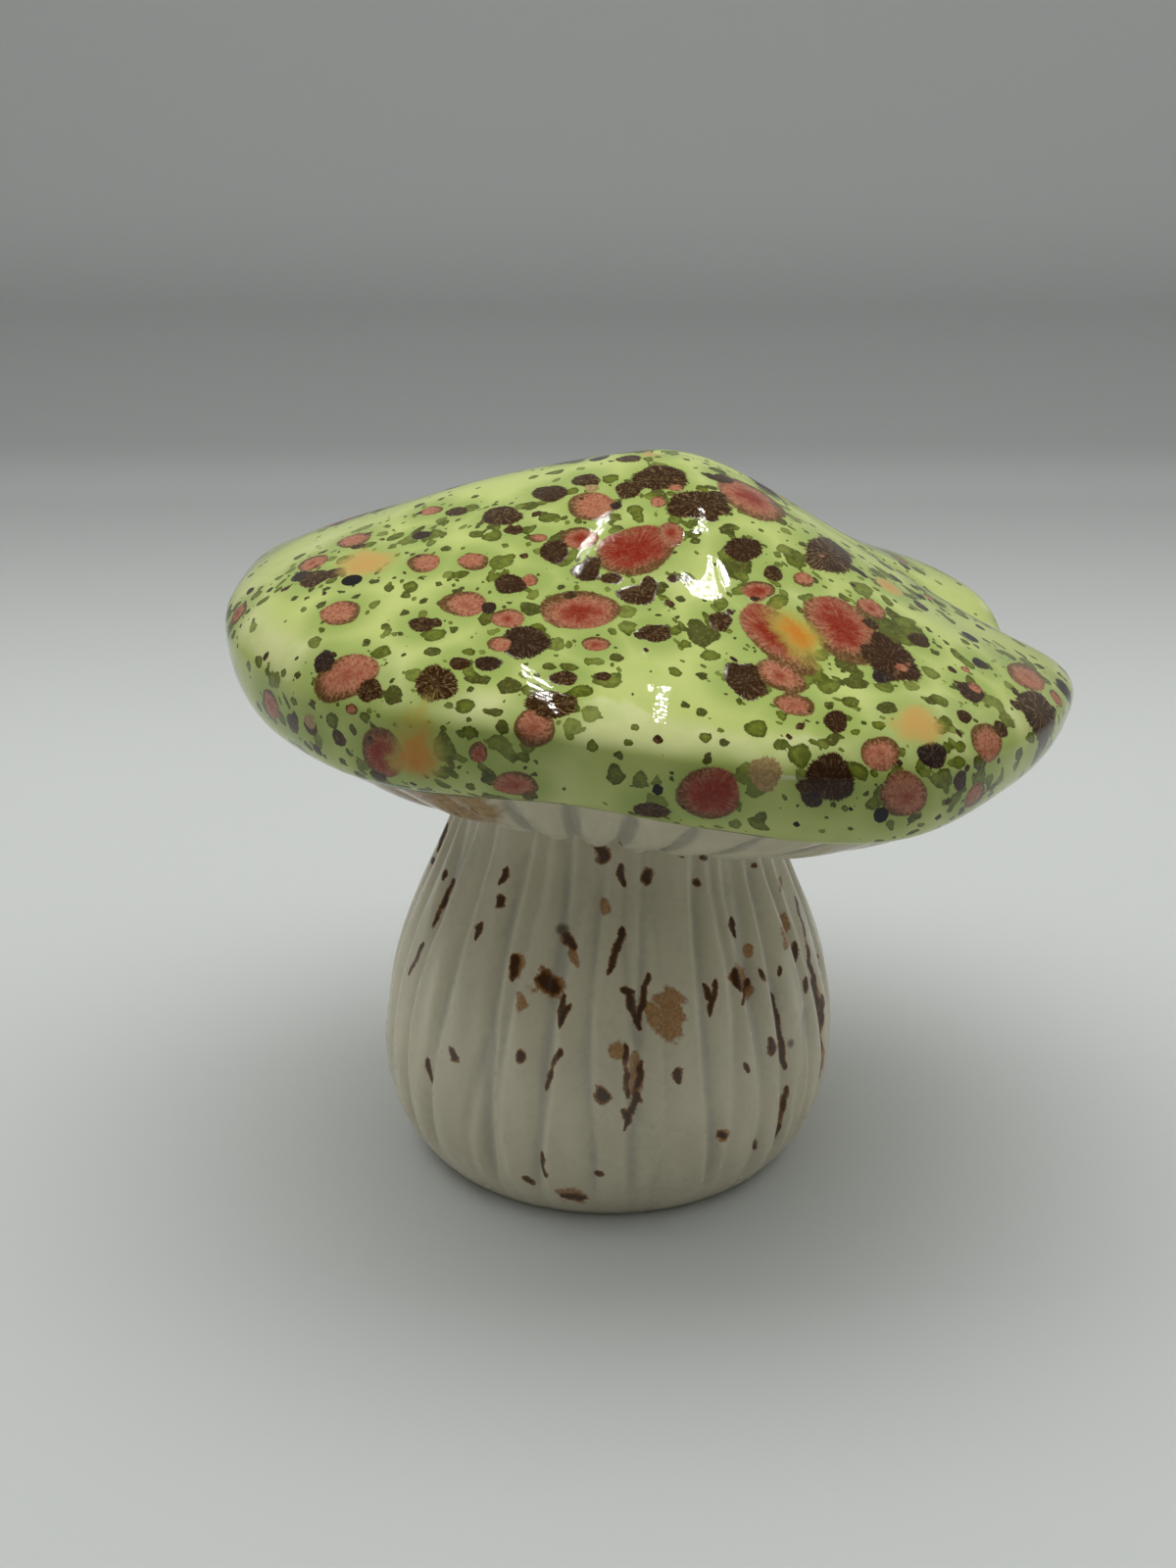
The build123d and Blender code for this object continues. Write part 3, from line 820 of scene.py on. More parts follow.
def bloom_field(points, crystals, lumps):
    """For each point 1 minus its distance from the nearest crystal's middle in half axes, so
    that it is 1 in the middle and 0 at the edge, with the place in that crystal and its number.
    The edge swings in and out by the lumps' share, as a sum of sines round the crystal."""
    depth = np.full(len(points), -1.0)
    place = np.zeros((len(points), 3))
    for spot, facing, one, two, number in crystals:
        size = max(np.linalg.norm(one), np.linalg.norm(two))
        near = np.flatnonzero(np.abs(points - spot).max(axis=1) < 2.2 * size)
        away = points[near] - spot
        u = away @ one / (one @ one)
        v = away @ two / (two @ two)
        w = away @ facing / (1.5 * size)
        turn = np.arctan2(v, u) + 7 * number
        swing = 1 + lumps * (np.sin(3 * turn + 40 * number) + 0.6 * np.sin(5 * turn - 90 * number))
        value = 1 - np.sqrt(u * u + v * v + w * w) / swing
        better = value > depth[near]
        depth[near[better]] = value[better]
        place[near[better]] = np.stack([u, v, np.full_like(u, number)], axis=-1)[better]
    return depth, place


def crowd_field(points, crystals):
    """How near a point is to the crowds of crystals: the greatest of exp(-(d / (r + reach))^2),
    with the distance d from a crystal's middle and its greater half axis r."""
    crowd = np.zeros(len(points))
    least = 1.2 * MM
    for spot, _, one, two, _ in crystals:
        size = max(np.linalg.norm(one), np.linalg.norm(two))
        if size < least:
            continue
        away = np.linalg.norm(points - spot, axis=1) / (size + crowd_reach)
        crowd = np.maximum(crowd, np.exp(-(away**2)))
    return crowd


def seen_runs(tree, table):
    """Runs of crystals from the photograph's pixels: the rays through both ends give their
    places, and the widths there are those that show."""
    runs = []
    for x0, y0, x1, y1, wide0, wide1 in table:
        start, end = touch(tree, x0, y0), touch(tree, x1, y1)
        if start is None or end is None:
            continue
        scale = np.linalg.norm(start[0] - np.array(camera_eye)) / camera_focus_px
        runs.append((start[0], end[0], scale * wide0, scale * wide1))
    return runs


def strewn_runs(skin, count, reach, width, chance):
    """Runs strewn over the back of the stem, down its flutes and a little across them, more of
    them short than long. The lengths and widths are the largest."""
    rows, columns = skin.shape[:2]
    pitch = np.linalg.norm(skin[rows // 2, 0] - skin[rows // 2 + 1, 0])
    runs = []
    for _ in range(count):
        row = int(chance.uniform(0.05, 0.92) * rows)
        column = int(chance.uniform(-0.02, 0.52) * columns)
        below = min(row + int(reach / pitch * chance.random() ** 2), rows - 1)
        beside = column + int(chance.integers(-4, 5))
        wide = width * (0.25 + 0.75 * chance.random() ** 2)
        runs.append((skin[row, column], skin[below, beside], wide, wide * chance.uniform(0.4, 1.0)))
    return runs


def run_field(points, runs):
    """The field of runs is 1 minus the distance from the line between a run's ends in half
    widths. A long run narrows to its ends, by 1 - 0.7 (2 way - 1)^4. Its line sways and its
    edges wander by sums of sines."""
    depth = np.full(len(points), -1.0)
    x, y, z = (points[:, axis] / MM for axis in range(3))
    wander = np.sin(1.3 * z + 0.9 * x) * np.sin(1.1 * x - 0.8 * z + 1.0)
    wander = 0.22 * wander + 0.16 * np.sin(2.9 * z + 2.3 * x)
    wander = wander + 0.14 * np.sin(5.1 * z - 4.3 * x + 1.0)
    sway = np.stack([np.sin(1.9 * z + 0.7 * x), np.sin(1.6 * z + y), 0.4 * np.sin(3 * x)], axis=-1)
    points = points + 0.12 * MM * sway
    for head, tail, wide0, wide1 in runs:
        line = tail - head
        reach = np.linalg.norm(line)
        near = np.flatnonzero(np.abs(points - (head + tail) / 2).max(axis=1) < reach + 5 * MM)
        away = points[near] - head
        way = np.clip(away @ line / max(line @ line, 1e-12), 0, 1)
        gap = np.linalg.norm(away - way[:, None] * line, axis=1)
        half = (wide0 + (wide1 - wide0) * way) / 2
        drawn = np.clip(reach / (3 * half.max()) - 0.5, 0, 0.7)
        half = half * (1 - drawn * (2 * way - 1) ** 4) * (1 + wander[near]) + 0.25 * MM
        depth[near] = np.maximum(depth[near], 1 - gap / half)
    return depth


def share_of(tint, share):
    """A tint made darker or lighter by a share."""
    return tuple(share * value for value in tint)


class Recipe:
    """The nodes of a material or of the world: each call adds one and returns its output."""

    def __init__(self, owner):
        self.owner = owner
        owner.use_nodes = True
        self.tree = owner.node_tree
        self.shader = self.tree.nodes.get("Principled BSDF")

    def put(self, kind, settings=None, **inputs):
        node = self.tree.nodes.new(kind)
        for key, value in (settings or {}).items():
            setattr(node, key, value)
        for key, value in inputs.items():
            self.join(value, node.inputs[key.replace("_", " ")])
        return node

    def join(self, value, socket):
        if isinstance(value, bpy.types.NodeSocket):
            self.tree.links.new(value, socket)
        elif isinstance(value, (tuple, list)) and len(value) == 3 and socket.type == "RGBA":
            socket.default_value = (*value, 1.0)
        else:
            socket.default_value = value

    def place(self):
        return self.put("ShaderNodeTexCoord").outputs["Object"]

    def field(self, name, output="Fac"):
        return self.put("ShaderNodeAttribute", {"attribute_name": name}).outputs[output]

    def triple(self, name):
        return self.field(name, "Vector")

    def sum(self, operation, first, second=0.0, third=0.0):
        node = self.put("ShaderNodeMath", {"operation": operation})
        for value, socket in zip((first, second, third), node.inputs):
            self.join(value, socket)
        return node.outputs[0]

    def add(self, first, second):
        return self.sum("ADD", first, second)

    def less(self, first, second):
        return self.sum("SUBTRACT", first, second)

    def times(self, first, second):
        return self.sum("MULTIPLY", first, second)

    def most(self, first, second):
        return self.sum("MAXIMUM", first, second)

    def plus(self, base, value, amount):
        """The base and an amount of a value."""
        return self.sum("MULTIPLY_ADD", value, amount, base)

    def ruffled(self, base, noise, amount, off=None):
        """The base and an amount of a noise, with half that amount, or what is given, off it."""
        return self.plus(self.less(base, amount / 2 if off is None else off), noise, amount)

    def shift(self, operation, first, second=(0, 0, 0), scale=1.0, output=0):
        node = self.put("ShaderNodeVectorMath", {"operation": operation})
        self.join(first, node.inputs[0])
        self.join(second, node.inputs[1])
        if operation == "SCALE":
            self.join(scale, node.inputs[3])
        return node.outputs[output]

    def noise(self, where, scale, detail, roughness, output="Fac"):
        node = self.put(
            "ShaderNodeTexNoise", Vector=where, Scale=scale, Detail=detail, Roughness=roughness
        )
        return node.outputs[output]

    def cells(self, where, scale, output="Distance"):
        node = self.put("ShaderNodeTexVoronoi", Vector=where, Scale=scale)
        return node.outputs[output]

    def step(self, value, low, high, start=0.0, end=1.0):
        """Smooth step from start to end as the value goes from low to high."""
        settings = {"interpolation_type": "SMOOTHSTEP", "clamp": True}
        node = self.put("ShaderNodeMapRange", settings)
        for number, entry in enumerate((value, low, high, start, end)):
            self.join(entry, node.inputs[number])
        return node.outputs[0]

    def mix(self, share, first, second):
        node = self.put("ShaderNodeMix", {"data_type": "RGBA"})
        for value, number in ((share, 0), (first, 6), (second, 7)):
            self.join(value, node.inputs[number])
        return node.outputs[2]

    def coats(self, look, *coats):
        """Coats over a look: each has a value, where it starts and where it is full, the
        greatest share of the coat, and its tint or its own look."""
        for value, low, high, share, tint in coats:
            look = self.mix(self.step(value, low, high, 0.0, share), look, tint)
        return look

    def parts(self, vector):
        return self.put("ShaderNodeSeparateXYZ", Vector=vector).outputs

    def whole(self, x, y, z):
        return self.put("ShaderNodeCombineXYZ", X=x, Y=y, Z=z).outputs[0]

    def bump(self, height, strength, distance, under=None):
        node = self.put("ShaderNodeBump", Height=height, Strength=strength, Distance=distance)
        if under is not None:
            self.join(under, node.inputs["Normal"])
        return node.outputs[0]

    def needles(self, place, turns, length_share):
        """Noise in strokes that run out from a crystal's middle: it is read round the direction
        from the middle, and only slowly outwards, and starts elsewhere in each crystal."""
        x, y, number = self.parts(place)
        flat = self.whole(x, y, 0.0)
        round_it = self.shift("SCALE", self.shift("NORMALIZE", flat), scale=turns)
        out = self.shift("LENGTH", flat, output=1)
        lift = self.plus(self.times(out, length_share), number, 40.0)
        where = self.shift("ADD", round_it, self.whole(0.0, 0.0, lift))
        return self.noise(where, 1.0, 3.0, 0.65)


def glaze_specks(r, place, crowd):
    """Small specks between the crystals: a cell shows where its own number is below a share
    that grows in the crowds."""
    wobble = r.noise(place, wobble_scale, 1.0, 0.5, "Color")
    wobble = r.shift("SUBTRACT", wobble, (0.5, 0.5, 0.5))
    moved = r.shift("ADD", place, r.shift("SCALE", wobble, scale=0.9 * MM))
    specks = []
    for scale, low, high, reach in cap_speck_cells:
        number = r.parts(r.cells(moved, scale, "Color"))[0]
        share = r.step(crowd, 0.30, 0.85, low, high)
        size = r.times(r.sum("DIVIDE", r.less(share, number), share), reach)
        specks.append(r.step(r.less(size, r.cells(moved, scale)), 0.0, 0.05))
    return r.most(*specks)


def crystal_glaze(glazes):
    """Glossy green glaze with a paler body where it thins, with painted sheen on the rim's upper
    rounding and in pale patches, and a darker band above the lip from pooling glaze and painted
    shade; granular red crystals with a brown edge, needled brown crystals, soft orange patches,
    tan, dark green and black crystals, and small specks between the crowds. Past the lip it gives
    way to the white glaze, with painted shade between the gills."""
    r = Recipe(bpy.data.materials.new("green_crystal_glaze"))
    place = r.place()
    grain = r.noise(place, grain_scale, 2.0, 0.6)
    fine = r.noise(place, fine_scale, 3.0, 0.6)
    soft = r.noise(place, soft_scale, 2.0, 0.5)
    broad = r.noise(place, cap_cloud_scale, 3.0, 0.55)
    crowd = r.field("crowd")
    past_lip = r.field("past_lip")

    # Body: green, paler in slow clouds and where the glaze thins, with painted sheen where the
    # rim's upper side bends and in the pale patches, greener in a mottle
    thin_and_sheen = r.add(r.field("bend"), r.step(broad, 0.35, 0.75, -0.15, 0.6))
    thin_and_sheen = r.add(thin_and_sheen, r.step(r.field("thin_and_sheen"), -0.1, 0.9, 0.0, 0.9))
    pool_and_shade = r.times(r.step(past_lip, 24.0, 12.0), r.step(past_lip, 2.0, 9.0))
    look = r.coats(
        tuple(glazes.green),
        (thin_and_sheen, 0.1, 1.1, 0.9, tuple(glazes.pale)),
        (soft, 0.42, 0.75, 0.30, mottle_tint),
        (crowd, 0.45, 0.95, 0.70, crowd_tint),
    )
    # Darker band above the lip: pooling glaze and painted shade on the rim's lower face
    look = r.mix(r.times(pool_and_shade, 0.25), look, pool_and_shade_tint)
    look = r.coats(look, (r.field("pale_line"), 0.0, 0.5, 0.7, lip_tint))

    # Dark green crystals and specks, some with a brown or an olive cast, mottled
    leaf = r.ruffled(r.field("leaf"), fine, 0.65, 0.33)
    number = r.parts(r.triple("leaf_place"))[2]
    leaf_tints = share_of(glazes.leaf, 0.55), share_of(glazes.leaf, 1.25)
    leaf_look = r.coats(
        r.mix(r.step(leaf, 0.05, 0.5), *leaf_tints),
        (number, 0.42, 0.10, 0.80, leaf_brown_tint),
        (number, 0.70, 1.0, 0.35, leaf_olive_tint),
        (grain, 0.48, 0.68, 0.45, leaf_light_tint),
        (fine, 0.47, 0.62, 0.60, leaf_dark_tint),
    )
    shown = r.most(r.step(leaf, 0.0, 0.10), glaze_specks(r, place, crowd))
    look = r.mix(r.times(shown, r.step(number, 0.4, 1.0, 0.96, 0.78)), look, leaf_look)

    # Red crystals: brown edge, pink body and deep red middle, with light and dark grains
    red_place = r.triple("red_place")
    needle = r.needles(red_place, 9.0, 1.2)
    u, v, number = r.parts(red_place)
    red = r.ruffled(r.field("red"), needle, 0.16, 0.05)
    tone = r.ruffled(r.ruffled(red, grain, 0.35), soft, 0.7)
    angle = r.times(number, 50.0)
    lean = r.add(r.times(u, r.sum("SINE", angle)), r.times(v, r.sum("COSINE", angle)))
    tone = r.plus(tone, lean, 0.20)
    heart = r.plus(r.plus(-1.60, tone, 0.75), number, 0.80)
    heart = r.add(heart, r.plus(r.times(grain, 0.6), fine, 0.6))
    light = r.most(r.step(grain, 0.52, 0.66), r.step(needle, 0.51, 0.66, 0.0, 0.95))
    light = r.times(light, r.step(heart, 0.36, -0.04, 0.16, 0.66))
    light = r.times(light, r.step(tone, 0.0, 0.35, 0.45, 1.0))
    red_look = r.mix(r.step(tone, 0.03, 0.50), red_rim_tint, tuple(glazes.pink))
    red_look = r.coats(red_look, (heart, -0.22, 0.22, 1.0, tuple(glazes.red)))
    red_look = r.mix(light, red_look, red_light_tint)
    red_look = r.coats(red_look, (grain, 0.48, 0.36, 0.45, red_dark_tint))

    # Brown crystals: dark needles over tan, with a ragged edge, some of them nearly black
    brown_place = r.triple("brown_place")
    stroke = r.needles(brown_place, 11.0, 1.6)
    number = r.parts(brown_place)[2]
    brown = r.ruffled(r.field("brown"), stroke, 0.50, 0.19)
    dark = r.mix(r.step(number, 0.75, 0.90), tuple(glazes.brown), brown_deep_tint)
    light = r.mix(r.step(number, 0.35, 0.75), share_of(tan_tint, 0.75), brown_light_tint)
    brown_look = r.coats(dark, (r.ruffled(stroke, grain, 0.55), 0.52, 0.64, 0.75, light))

    # Where red and brown meet, the deeper of the two shows, in grains
    meet = r.plus(r.less(brown, red), r.less(fine, 0.5), 1.1)
    grown = r.mix(r.step(meet, -0.10, 0.10), red_look, brown_look)
    look = r.coats(look, (r.most(red, brown), 0.0, 0.09, 1.0, grown))

    # Soft orange patches over the others, strongest in the middle, some of them pale
    orange_place = r.triple("orange_place")
    orange = r.ruffled(r.ruffled(r.field("orange"), soft, 0.8), grain, 0.25)
    orange = r.ruffled(orange, r.needles(orange_place, 6.0, 0.9), 0.45)
    glow = r.mix(r.step(orange, 0.30, 0.85), orange_rim_tint, tuple(glazes.orange))
    glow = r.coats(glow, (r.parts(orange_place)[2], 0.5, 1.0, 0.75, orange_pale_tint))
    tan = r.ruffled(r.field("tan"), r.needles(r.triple("tan_place"), 7.0, 1.0), 0.6, 0.27)
    look = r.coats(
        look,
        (orange, 0.0, 0.60, 0.90, glow),
        (tan, 0.0, 0.10, 1.0, r.mix(r.step(grain, 0.35, 0.65), tan_tint, tan_light_tint)),
        (r.field("black"), 0.0, 0.10, 1.0, black_tint),
    )

    # The lip: a thin pale line where the glaze breaks over the edge, dark where it pools above
    past = r.plus(past_lip, r.less(soft, 0.5), 0.9)
    pooled = r.times(r.step(past, 0.15, 0.45), r.step(past, 1.0, 0.55))
    pooled = r.times(pooled, r.step(broad, 0.5, 0.62))
    look = r.mix(r.times(pooled, 0.85), look, lip_dark_tint)

    # White glaze of the underside, with painted shade in the hollows between the gills, stained
    # below orange and brown
    white = r.mix(r.step(broad, 0.3, 0.75), tuple(glazes.white), share_of(glazes.white, 0.86))
    white = r.coats(
        white,
        # Random grey mottle, in the same tint as the painted groove shade
        (fine, 0.35, 0.8, 0.18, groove_shade_and_mottle_tint),
        # Painted shade in the hollows between the gills
        (r.field("hollow"), 0.05, 0.40, 0.75, gill_groove_shade_tint),
    )
    stain = r.times(r.step(r.most(orange, r.less(brown, 0.05)), -0.30, 0.12), 0.94)
    white = r.mix(stain, white, r.mix(r.step(fine, 0.35, 0.65), *stain_tints))
    look = r.coats(look, (past, 0.05, -0.15, 1.0, lip_tint), (past, -0.25, -0.55, 1.0, white))

    marks = r.most(r.step(red, 0.0, 0.2), r.step(brown, 0.0, 0.2))
    facing = r.bump(r.noise(place, cap_peel_scale, 1.0, 0.4), 0.05, 0.06 * MM)
    facing = r.bump(r.times(marks, fine), 0.10, 0.05 * MM, facing)
    r.join(look, r.shader.inputs["Base Color"])
    r.join(r.step(grain, 0.3, 0.8, 0.012, 0.035), r.shader.inputs["Roughness"])
    r.join(facing, r.shader.inputs["Normal"])
    r.shader.inputs["IOR"].default_value = 1.52
    r.shader.inputs["Specular IOR Level"].default_value = 0.25
    return r.owner


def satin_glaze(glazes, name):
    """Satin white glaze: slow clouds, painted shade in the grooves, runs with a dark core and a
    brown edge, faint tan patches and a few fine specks."""
    r = Recipe(bpy.data.materials.new(name))
    place = r.place()
    grain = r.noise(place, grain_scale, 2.0, 0.6)
    fine = r.noise(place, fine_scale, 3.0, 0.6)
    broad = r.noise(place, stem_cloud_scale, 3.0, 0.55)
    clouds = share_of(glazes.white, 0.96), share_of(glazes.white, 0.84)
    look = r.coats(
        r.mix(r.step(broad, 0.3, 0.75), *clouds),
        # Painted shade in the flutes' grooves
        (r.plus(r.field("groove"), fine, 0.5), 0.75, 1.5, 0.60, groove_shade_and_mottle_tint),
        (fine, 0.45, 0.75, 0.28, cream_tint),
    )

    tan = r.ruffled(r.field("tan"), fine, 0.6, 0.27)
    tan_look = r.mix(r.step(grain, 0.40, 0.62), *patch_tints)
    tan_look = r.coats(tan_look, (tan, 0.05, 0.5, 0.45, patch_middle_tint))
    brown = r.ruffled(r.ruffled(r.field("brown"), fine, 0.9), grain, 0.7)
    brown_look = r.mix(r.step(brown, 0.12, 0.50), *run_tints)
    look = r.coats(look, (tan, -0.08, 0.34, 0.92, tan_look), (brown, -0.20, 0.15, 0.95, brown_look))

    number = r.parts(r.cells(place, stem_speck_scale, "Color"))[0]
    away = r.cells(place, stem_speck_scale)
    speck = r.step(r.less(r.times(number, -2.2), away), -0.22, -0.12)
    look = r.mix(r.times(speck, 0.8), look, speck_tint)

    r.join(look, r.shader.inputs["Base Color"])
    r.join(r.step(broad, 0.3, 0.8, 0.22, 0.32), r.shader.inputs["Roughness"])
    peel = r.noise(place, stem_peel_scale, 1.0, 0.4)
    r.join(r.bump(peel, 0.12, 0.10 * MM), r.shader.inputs["Normal"])
    r.shader.inputs["IOR"].default_value = 1.50
    return r.owner


def paper(glazes):
    """Plain matt paper of the floor and backdrop, with painted light falloff and painted shade:
    full colour under the light, darker towards the back, darkest up the wall and out of sight
    behind the camera."""
    r = Recipe(bpy.data.materials.new("studio_paper"))
    place = r.place()
    _, depth, height = r.parts(place)
    base = tuple(glazes.floor)
    # Painted shade, for the front and for the foot of the wall
    dark = share_of(base, 0.55)
    wall_falloff_shade = r.mix(r.step(height, 0.012, 0.09), dark, share_of(base, 0.80))
    look = r.coats(
        base,
        (r.noise(place, paper_cloud_scale, 3.0, 0.5), 0.3, 0.7, 0.06, paper_cloud_tint),
        # Painted falloff of light towards the back
        (depth, 0.13, 0.42, 1.0, share_of(base, 0.66)),
        # Painted shadow at the front, out of sight behind the camera
        (depth, -0.08, -0.30, 1.0, dark),
        # Painted falloff up the wall, darkest at its foot
        (height, 0.0, 0.012, 1.0, wall_falloff_shade),
    )
    r.join(look, r.shader.inputs["Base Color"])
    grain = r.noise(place, paper_grain_scale, 2.0, 0.6)
    r.join(r.bump(grain, 0.15, 0.05 * MM), r.shader.inputs["Normal"])
    r.shader.inputs["Roughness"].default_value = 0.85
    r.shader.inputs["IOR"].default_value = 1.3
    return r.owner


def diode_light():
    """Light of a strip of small diodes: bright dots, each somewhere in a cell of its own."""
    r = Recipe(bpy.data.materials.new("diode_light"))
    where = r.triple("pitch")
    number = r.parts(r.cells(where, 1.0, "Color"))[0]
    dot = r.times(r.step(r.cells(where, 1.0), 0.46, 0.26), r.step(number, 0.0, 1.0, 70.0, 170.0))
    glow = r.put("ShaderNodeEmission", Color=diode_tint, Strength=r.add(dot, 2.0))
    r.join(glow.outputs[0], r.tree.nodes["Material Output"].inputs["Surface"])
    return r.owner


def studio_air():
    """Soft surroundings: bright overhead and brighter still at both sides, dim elsewhere."""
    r = Recipe(bpy.data.worlds.new("studio_air"))
    x, _, z = r.parts(r.put("ShaderNodeTexCoord").outputs["Generated"])
    glow = r.plus(r.step(z, 0.30, 1.0, 0.02, 0.72), r.sum("POWER", x, 4.0), 0.65)
    background = r.tree.nodes["Background"]
    r.join(glow, background.inputs["Strength"])
    r.join(air_tint, background.inputs["Color"])
    return r.owner


def skin_measures(outer, facing, along_row):
    """For each point of the cap's outer rows: its way from the crown, how far the skin bends there
    on its upper side, from 0 to 1, which the glaze paints as sheen, and how far it lies in a
    hollow, in millimetres, which it paints as shade."""
    stretch = np.linalg.norm(np.diff(outer, axis=0), axis=-1)
    way = np.concatenate([np.zeros((1, outer.shape[1])), np.cumsum(stretch, axis=0)])
    turn = np.linalg.norm(np.gradient(facing, axis=0), axis=-1)
    bend = turn / np.maximum(np.linalg.norm(along_row, axis=-1), 1e-6) * MM
    for _ in range(6):
        bend = (bend + np.roll(bend, 1, axis=1) + np.roll(bend, -1, axis=1)) / 3
        bend[1:-1] = (bend[:-2] + bend[1:-1] + bend[2:]) / 3
    bend = np.clip((bend - 0.02) / 0.06, 0, 1) * np.clip(1.6 * facing[..., 2], 0, 1)
    beside = (np.roll(outer, 5, axis=1) + np.roll(outer, -5, axis=1)) / 2 - outer
    return way, bend, np.sum(beside * facing, axis=-1) / MM


class MUSHROOM_OT_cap(bpy.types.Operator):
    """Builds the hollow cap in its crystal glaze."""

    bl_idname = "mushroom.cap"
    bl_label = "Cap"

    def execute(self, context):
        sizes, glazes = context.scene.mushroom_sizes, context.scene.mushroom_glazes
        outer, inside, poles, lip_row = cap_rows(sizes)
        along_row = np.gradient(outer, axis=0)
        across_row = np.roll(outer, -1, axis=1) - np.roll(outer, 1, axis=1)
        facing = unit(np.cross(along_row, across_row))
        fade = np.clip((lip_row - np.arange(len(outer))) / 8, 0, 1)[:, None]
        outer += facing * (fade * hand_wave(outer))[..., None]
        piece, points, faces = lay_mesh("cap_casting", np.concatenate([outer, inside]), poles)
        way, bend, hollow = skin_measures(outer, facing, along_row)
        past_lip = np.clip((way[lip_row] - way) / MM, -9, 30)

        count = outer.shape[0] * outer.shape[1]
        skin, skin_facing = points[:count], facing.reshape(-1, 3)
        tree = BVHTree.FromPolygons(points.tolist(), faces)
        chance = np.random.default_rng(cap_seed)
        glazed = way < way[lip_row] - lip_margin
        spread = np.linalg.norm(across_row, axis=-1) * np.linalg.norm(along_row, axis=-1)
        weights = (spread * glazed).ravel()
        taken = []
        kinds = {}
        for kind, table, extra, across_mm, spare, _ in crystal_plan:
            shown = seen_crystals(tree, table, chance)
            taken += [(spot, float(np.linalg.norm(one))) for spot, _, one, _, _ in shown]
            kinds[kind] = shown + strewn_crystals(
                tree, skin, skin_facing, weights, extra, across_mm, spare, chance, taken
            )
        crowd = crowd_field(skin, [crystal for kind in large_kinds for crystal in kinds[kind]])
        for kind, least, *plan in crowd_plan:
            chosen = weights * (least + crowd**2)
            kinds[kind] += crowd_crystals(skin, skin_facing, chosen, *plan, chance, taken)

        def write(name, values):
            pad = np.full((len(points) - count,) + values.shape[1:], -1.0)
            write_field(piece, name, np.concatenate([values, pad]))

        for kind, *_, lumps in crystal_plan:
            depth, place = bloom_field(skin, kinds[kind], lumps)
            write(kind, depth)
            if kind != "black":
                write(kind + "_place", place)
        write("crowd", crowd)
        write("pale_line", run_field(skin, seen_runs(tree, pale_line_px)))
        # Pale patches: painted sheen, partly glaze that thins
        write("thin_and_sheen", run_field(skin, seen_runs(tree, sheen_and_thin_px)))
        # bend drives painted sheen in the glaze, hollow drives painted shade
        for name, values in (("past_lip", past_lip), ("bend", bend), ("hollow", hollow)):
            write(name, values.ravel())
        piece.data.materials.append(crystal_glaze(glazes))
        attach(piece, "root")
        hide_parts("cap")
        return {"FINISHED"}


class MUSHROOM_OT_stem(bpy.types.Operator):
    """Builds the hollow fluted stem in its satin glaze."""

    bl_idname = "mushroom.stem"
    bl_label = "Stem"

    def execute(self, context):
        sizes, glazes = context.scene.mushroom_sizes, context.scene.mushroom_glazes
        skin, inside = stem_rows(sizes)
        piece, points, faces = lay_mesh("stem_casting", np.concatenate([skin, inside]))
        tree = BVHTree.FromPolygons(points.tolist(), faces)
        chance = np.random.default_rng(stem_seed)
        back = strewn_runs(skin, *brown_strewn_runs, chance)
        brown = run_field(points, seen_runs(tree, brown_runs_px) + back)
        back = strewn_runs(skin, *tan_strewn_runs, chance)
        tan = run_field(points, seen_runs(tree, tan_runs_px) + back)
        # Depth in the flutes, which the glaze paints as shade
        depth = np.linalg.norm(skin - skin.mean(axis=1, keepdims=True), axis=-1)
        level = depth.max(axis=1, keepdims=True)
        groove = np.clip((level - depth) / sizes.flute_depth, 0, 1.5).ravel()
        groove = np.concatenate([groove, np.zeros(len(points) - len(groove))])
        for name, values in (("groove", groove), ("brown", brown), ("tan", tan)):
            write_field(piece, name, values)
        piece.data.materials.append(satin_glaze(glazes, "white_satin_glaze"))
        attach(piece, "root")
        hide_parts("stem")
        return {"FINISHED"}


class MUSHROOM_OT_bead(bpy.types.Operator):
    """Builds the bead of slip in the joint."""

    bl_idname = "mushroom.bead"
    bl_label = "Joining slip"

    def execute(self, context):
        sizes, glazes = context.scene.mushroom_sizes, context.scene.mushroom_glazes
        piece, points, _ = lay_mesh("slip_bead", bead_rows(sizes))
        for name in ("groove", "brown", "tan"):
            write_field(piece, name, np.full(len(points), -1.0))
        piece.data.materials.append(satin_glaze(glazes, "white_slip_glaze"))
        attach(piece, "root")
        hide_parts("joining_slip")
        return {"FINISHED"}


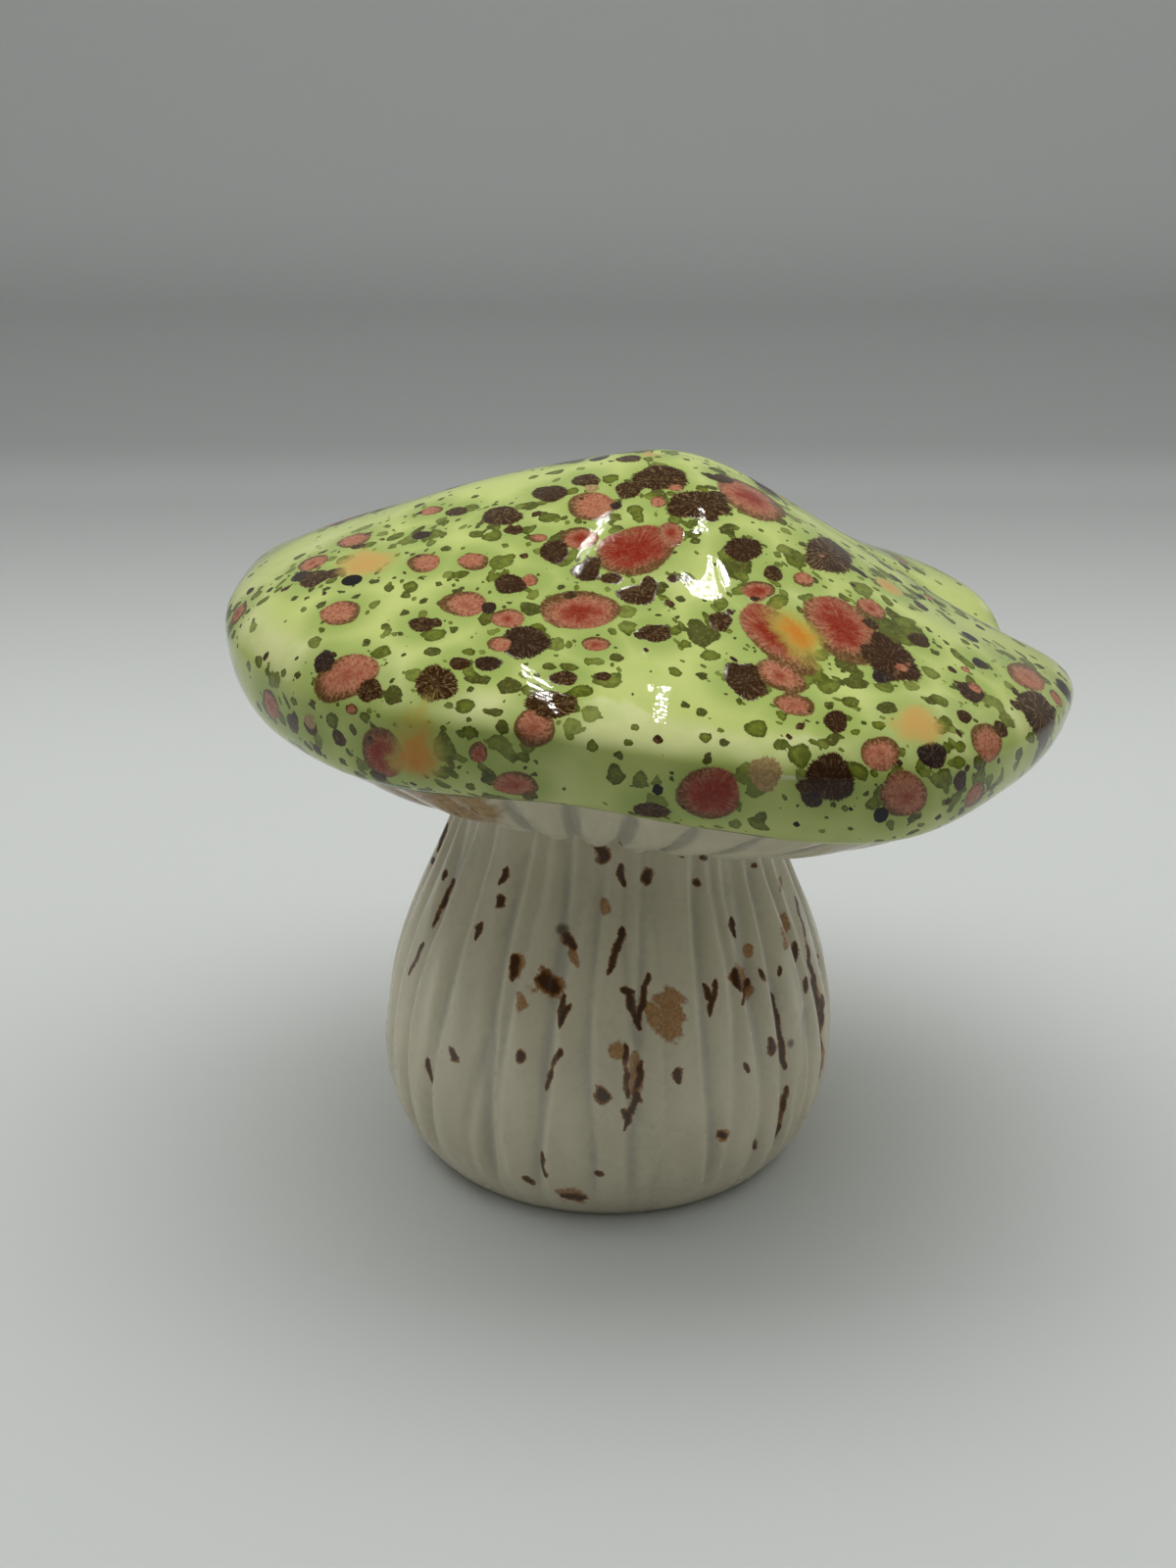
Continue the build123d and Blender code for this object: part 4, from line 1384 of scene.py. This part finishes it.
class MUSHROOM_OT_stage(bpy.types.Operator):
    """Builds the floor, the backdrop, the lights and the camera."""

    bl_idname = "mushroom.stage"
    bl_label = "Stage"

    def execute(self, context):
        scene = context.scene
        turn = np.linspace(0, np.pi / 2, stage_steps + 1)
        level = np.linspace(floor_front, floor_back, stage_steps)[:-1]
        curve = floor_back + backdrop_bend * np.sin(turn)
        y = np.concatenate([level, curve, [floor_back + backdrop_bend]])
        rise = backdrop_bend * (1 - np.cos(turn))
        z = np.concatenate([np.zeros(len(level)), rise, [backdrop_top]])
        x = np.linspace(-floor_side, floor_side, stage_steps)
        points = np.stack(np.broadcast_arrays(x[None], y[:, None], z[:, None]), axis=-1)
        index = np.arange(points.shape[0] * points.shape[1]).reshape(points.shape[:2])
        corners = index[:-1, :-1], index[:-1, 1:], index[1:, 1:], index[1:, :-1]
        quads = np.stack(corners, axis=-1).reshape(-1, 4)
        floor = new_object("floor", points.reshape(-1, 3), quads.tolist())
        floor.data.materials.append(paper(scene.mushroom_glazes))

        data = bpy.data.lights.new("overhead", "AREA")
        data.shape = "RECTANGLE"
        data.size, data.size_y = lamp_wide, lamp_deep
        data.energy = lamp_power
        data.spread = np.radians(lamp_spread)
        overhead = bpy.data.objects.new("overhead", data)
        overhead.location = lamp_spot
        overhead.visible_glossy = False
        scene.collection.objects.link(overhead)

        diodes = diode_light()
        for name, corners, pitch in diode_strips:
            points = np.array([(x, y, diode_height) for x, y in corners])
            strip = new_object(name, points * MM, [(3, 2, 1, 0)])
            strip.data.materials.append(diodes)
            write_field(strip, "pitch", points / np.array([*pitch, diode_layer]))
            strip.visible_camera = strip.visible_diffuse = strip.visible_shadow = False
        scene.world = studio_air()
        scene.world.cycles_visibility.glossy = False
        scene.view_settings.view_transform = "Standard"

        data = bpy.data.cameras.new("camera")
        data.lens = camera_focus_px * camera_sensor / frame_tall_px
        data.sensor_width = camera_sensor
        data.clip_start = 0.01
        camera = bpy.data.objects.new("camera", data)
        camera.location = camera_eye
        camera.rotation_euler = (np.radians(90 - camera_dip), 0.0, 0.0)
        scene.collection.objects.link(camera)
        scene.camera = camera
        return {"FINISHED"}


class MUSHROOM_PT_panel(bpy.types.Panel):
    """Sidebar panel with the mushroom's sizes, glazes and pieces."""

    bl_label = "Ceramic mushroom"
    bl_idname = "MUSHROOM_PT_panel"
    bl_space_type = "VIEW_3D"
    bl_region_type = "UI"
    bl_category = "Mushroom"

    def draw(self, context):
        for group in (context.scene.mushroom_sizes, context.scene.mushroom_glazes):
            box = self.layout.box()
            for name in group.bl_rna.properties.keys():
                if name not in ("rna_type", "name"):
                    box.prop(group, name)
        for step in steps:
            self.layout.operator(step.bl_idname)


steps = (MUSHROOM_OT_stage, MUSHROOM_OT_stem, MUSHROOM_OT_bead, MUSHROOM_OT_cap)
classes = (MushroomSizes, MushroomGlazes, *steps, MUSHROOM_PT_panel)


def register():
    for item in classes:
        bpy.utils.register_class(item)
    bpy.types.Scene.mushroom_sizes = bpy.props.PointerProperty(type=MushroomSizes)
    bpy.types.Scene.mushroom_glazes = bpy.props.PointerProperty(type=MushroomGlazes)


def unregister():
    del bpy.types.Scene.mushroom_glazes
    del bpy.types.Scene.mushroom_sizes
    for item in reversed(classes):
        bpy.utils.unregister_class(item)


def main():
    register()
    bpy.ops.mushroom.stage()
    bpy.ops.mushroom.stem()
    bpy.ops.mushroom.bead()
    bpy.ops.mushroom.cap()


if __name__ == "__main__":
    main()
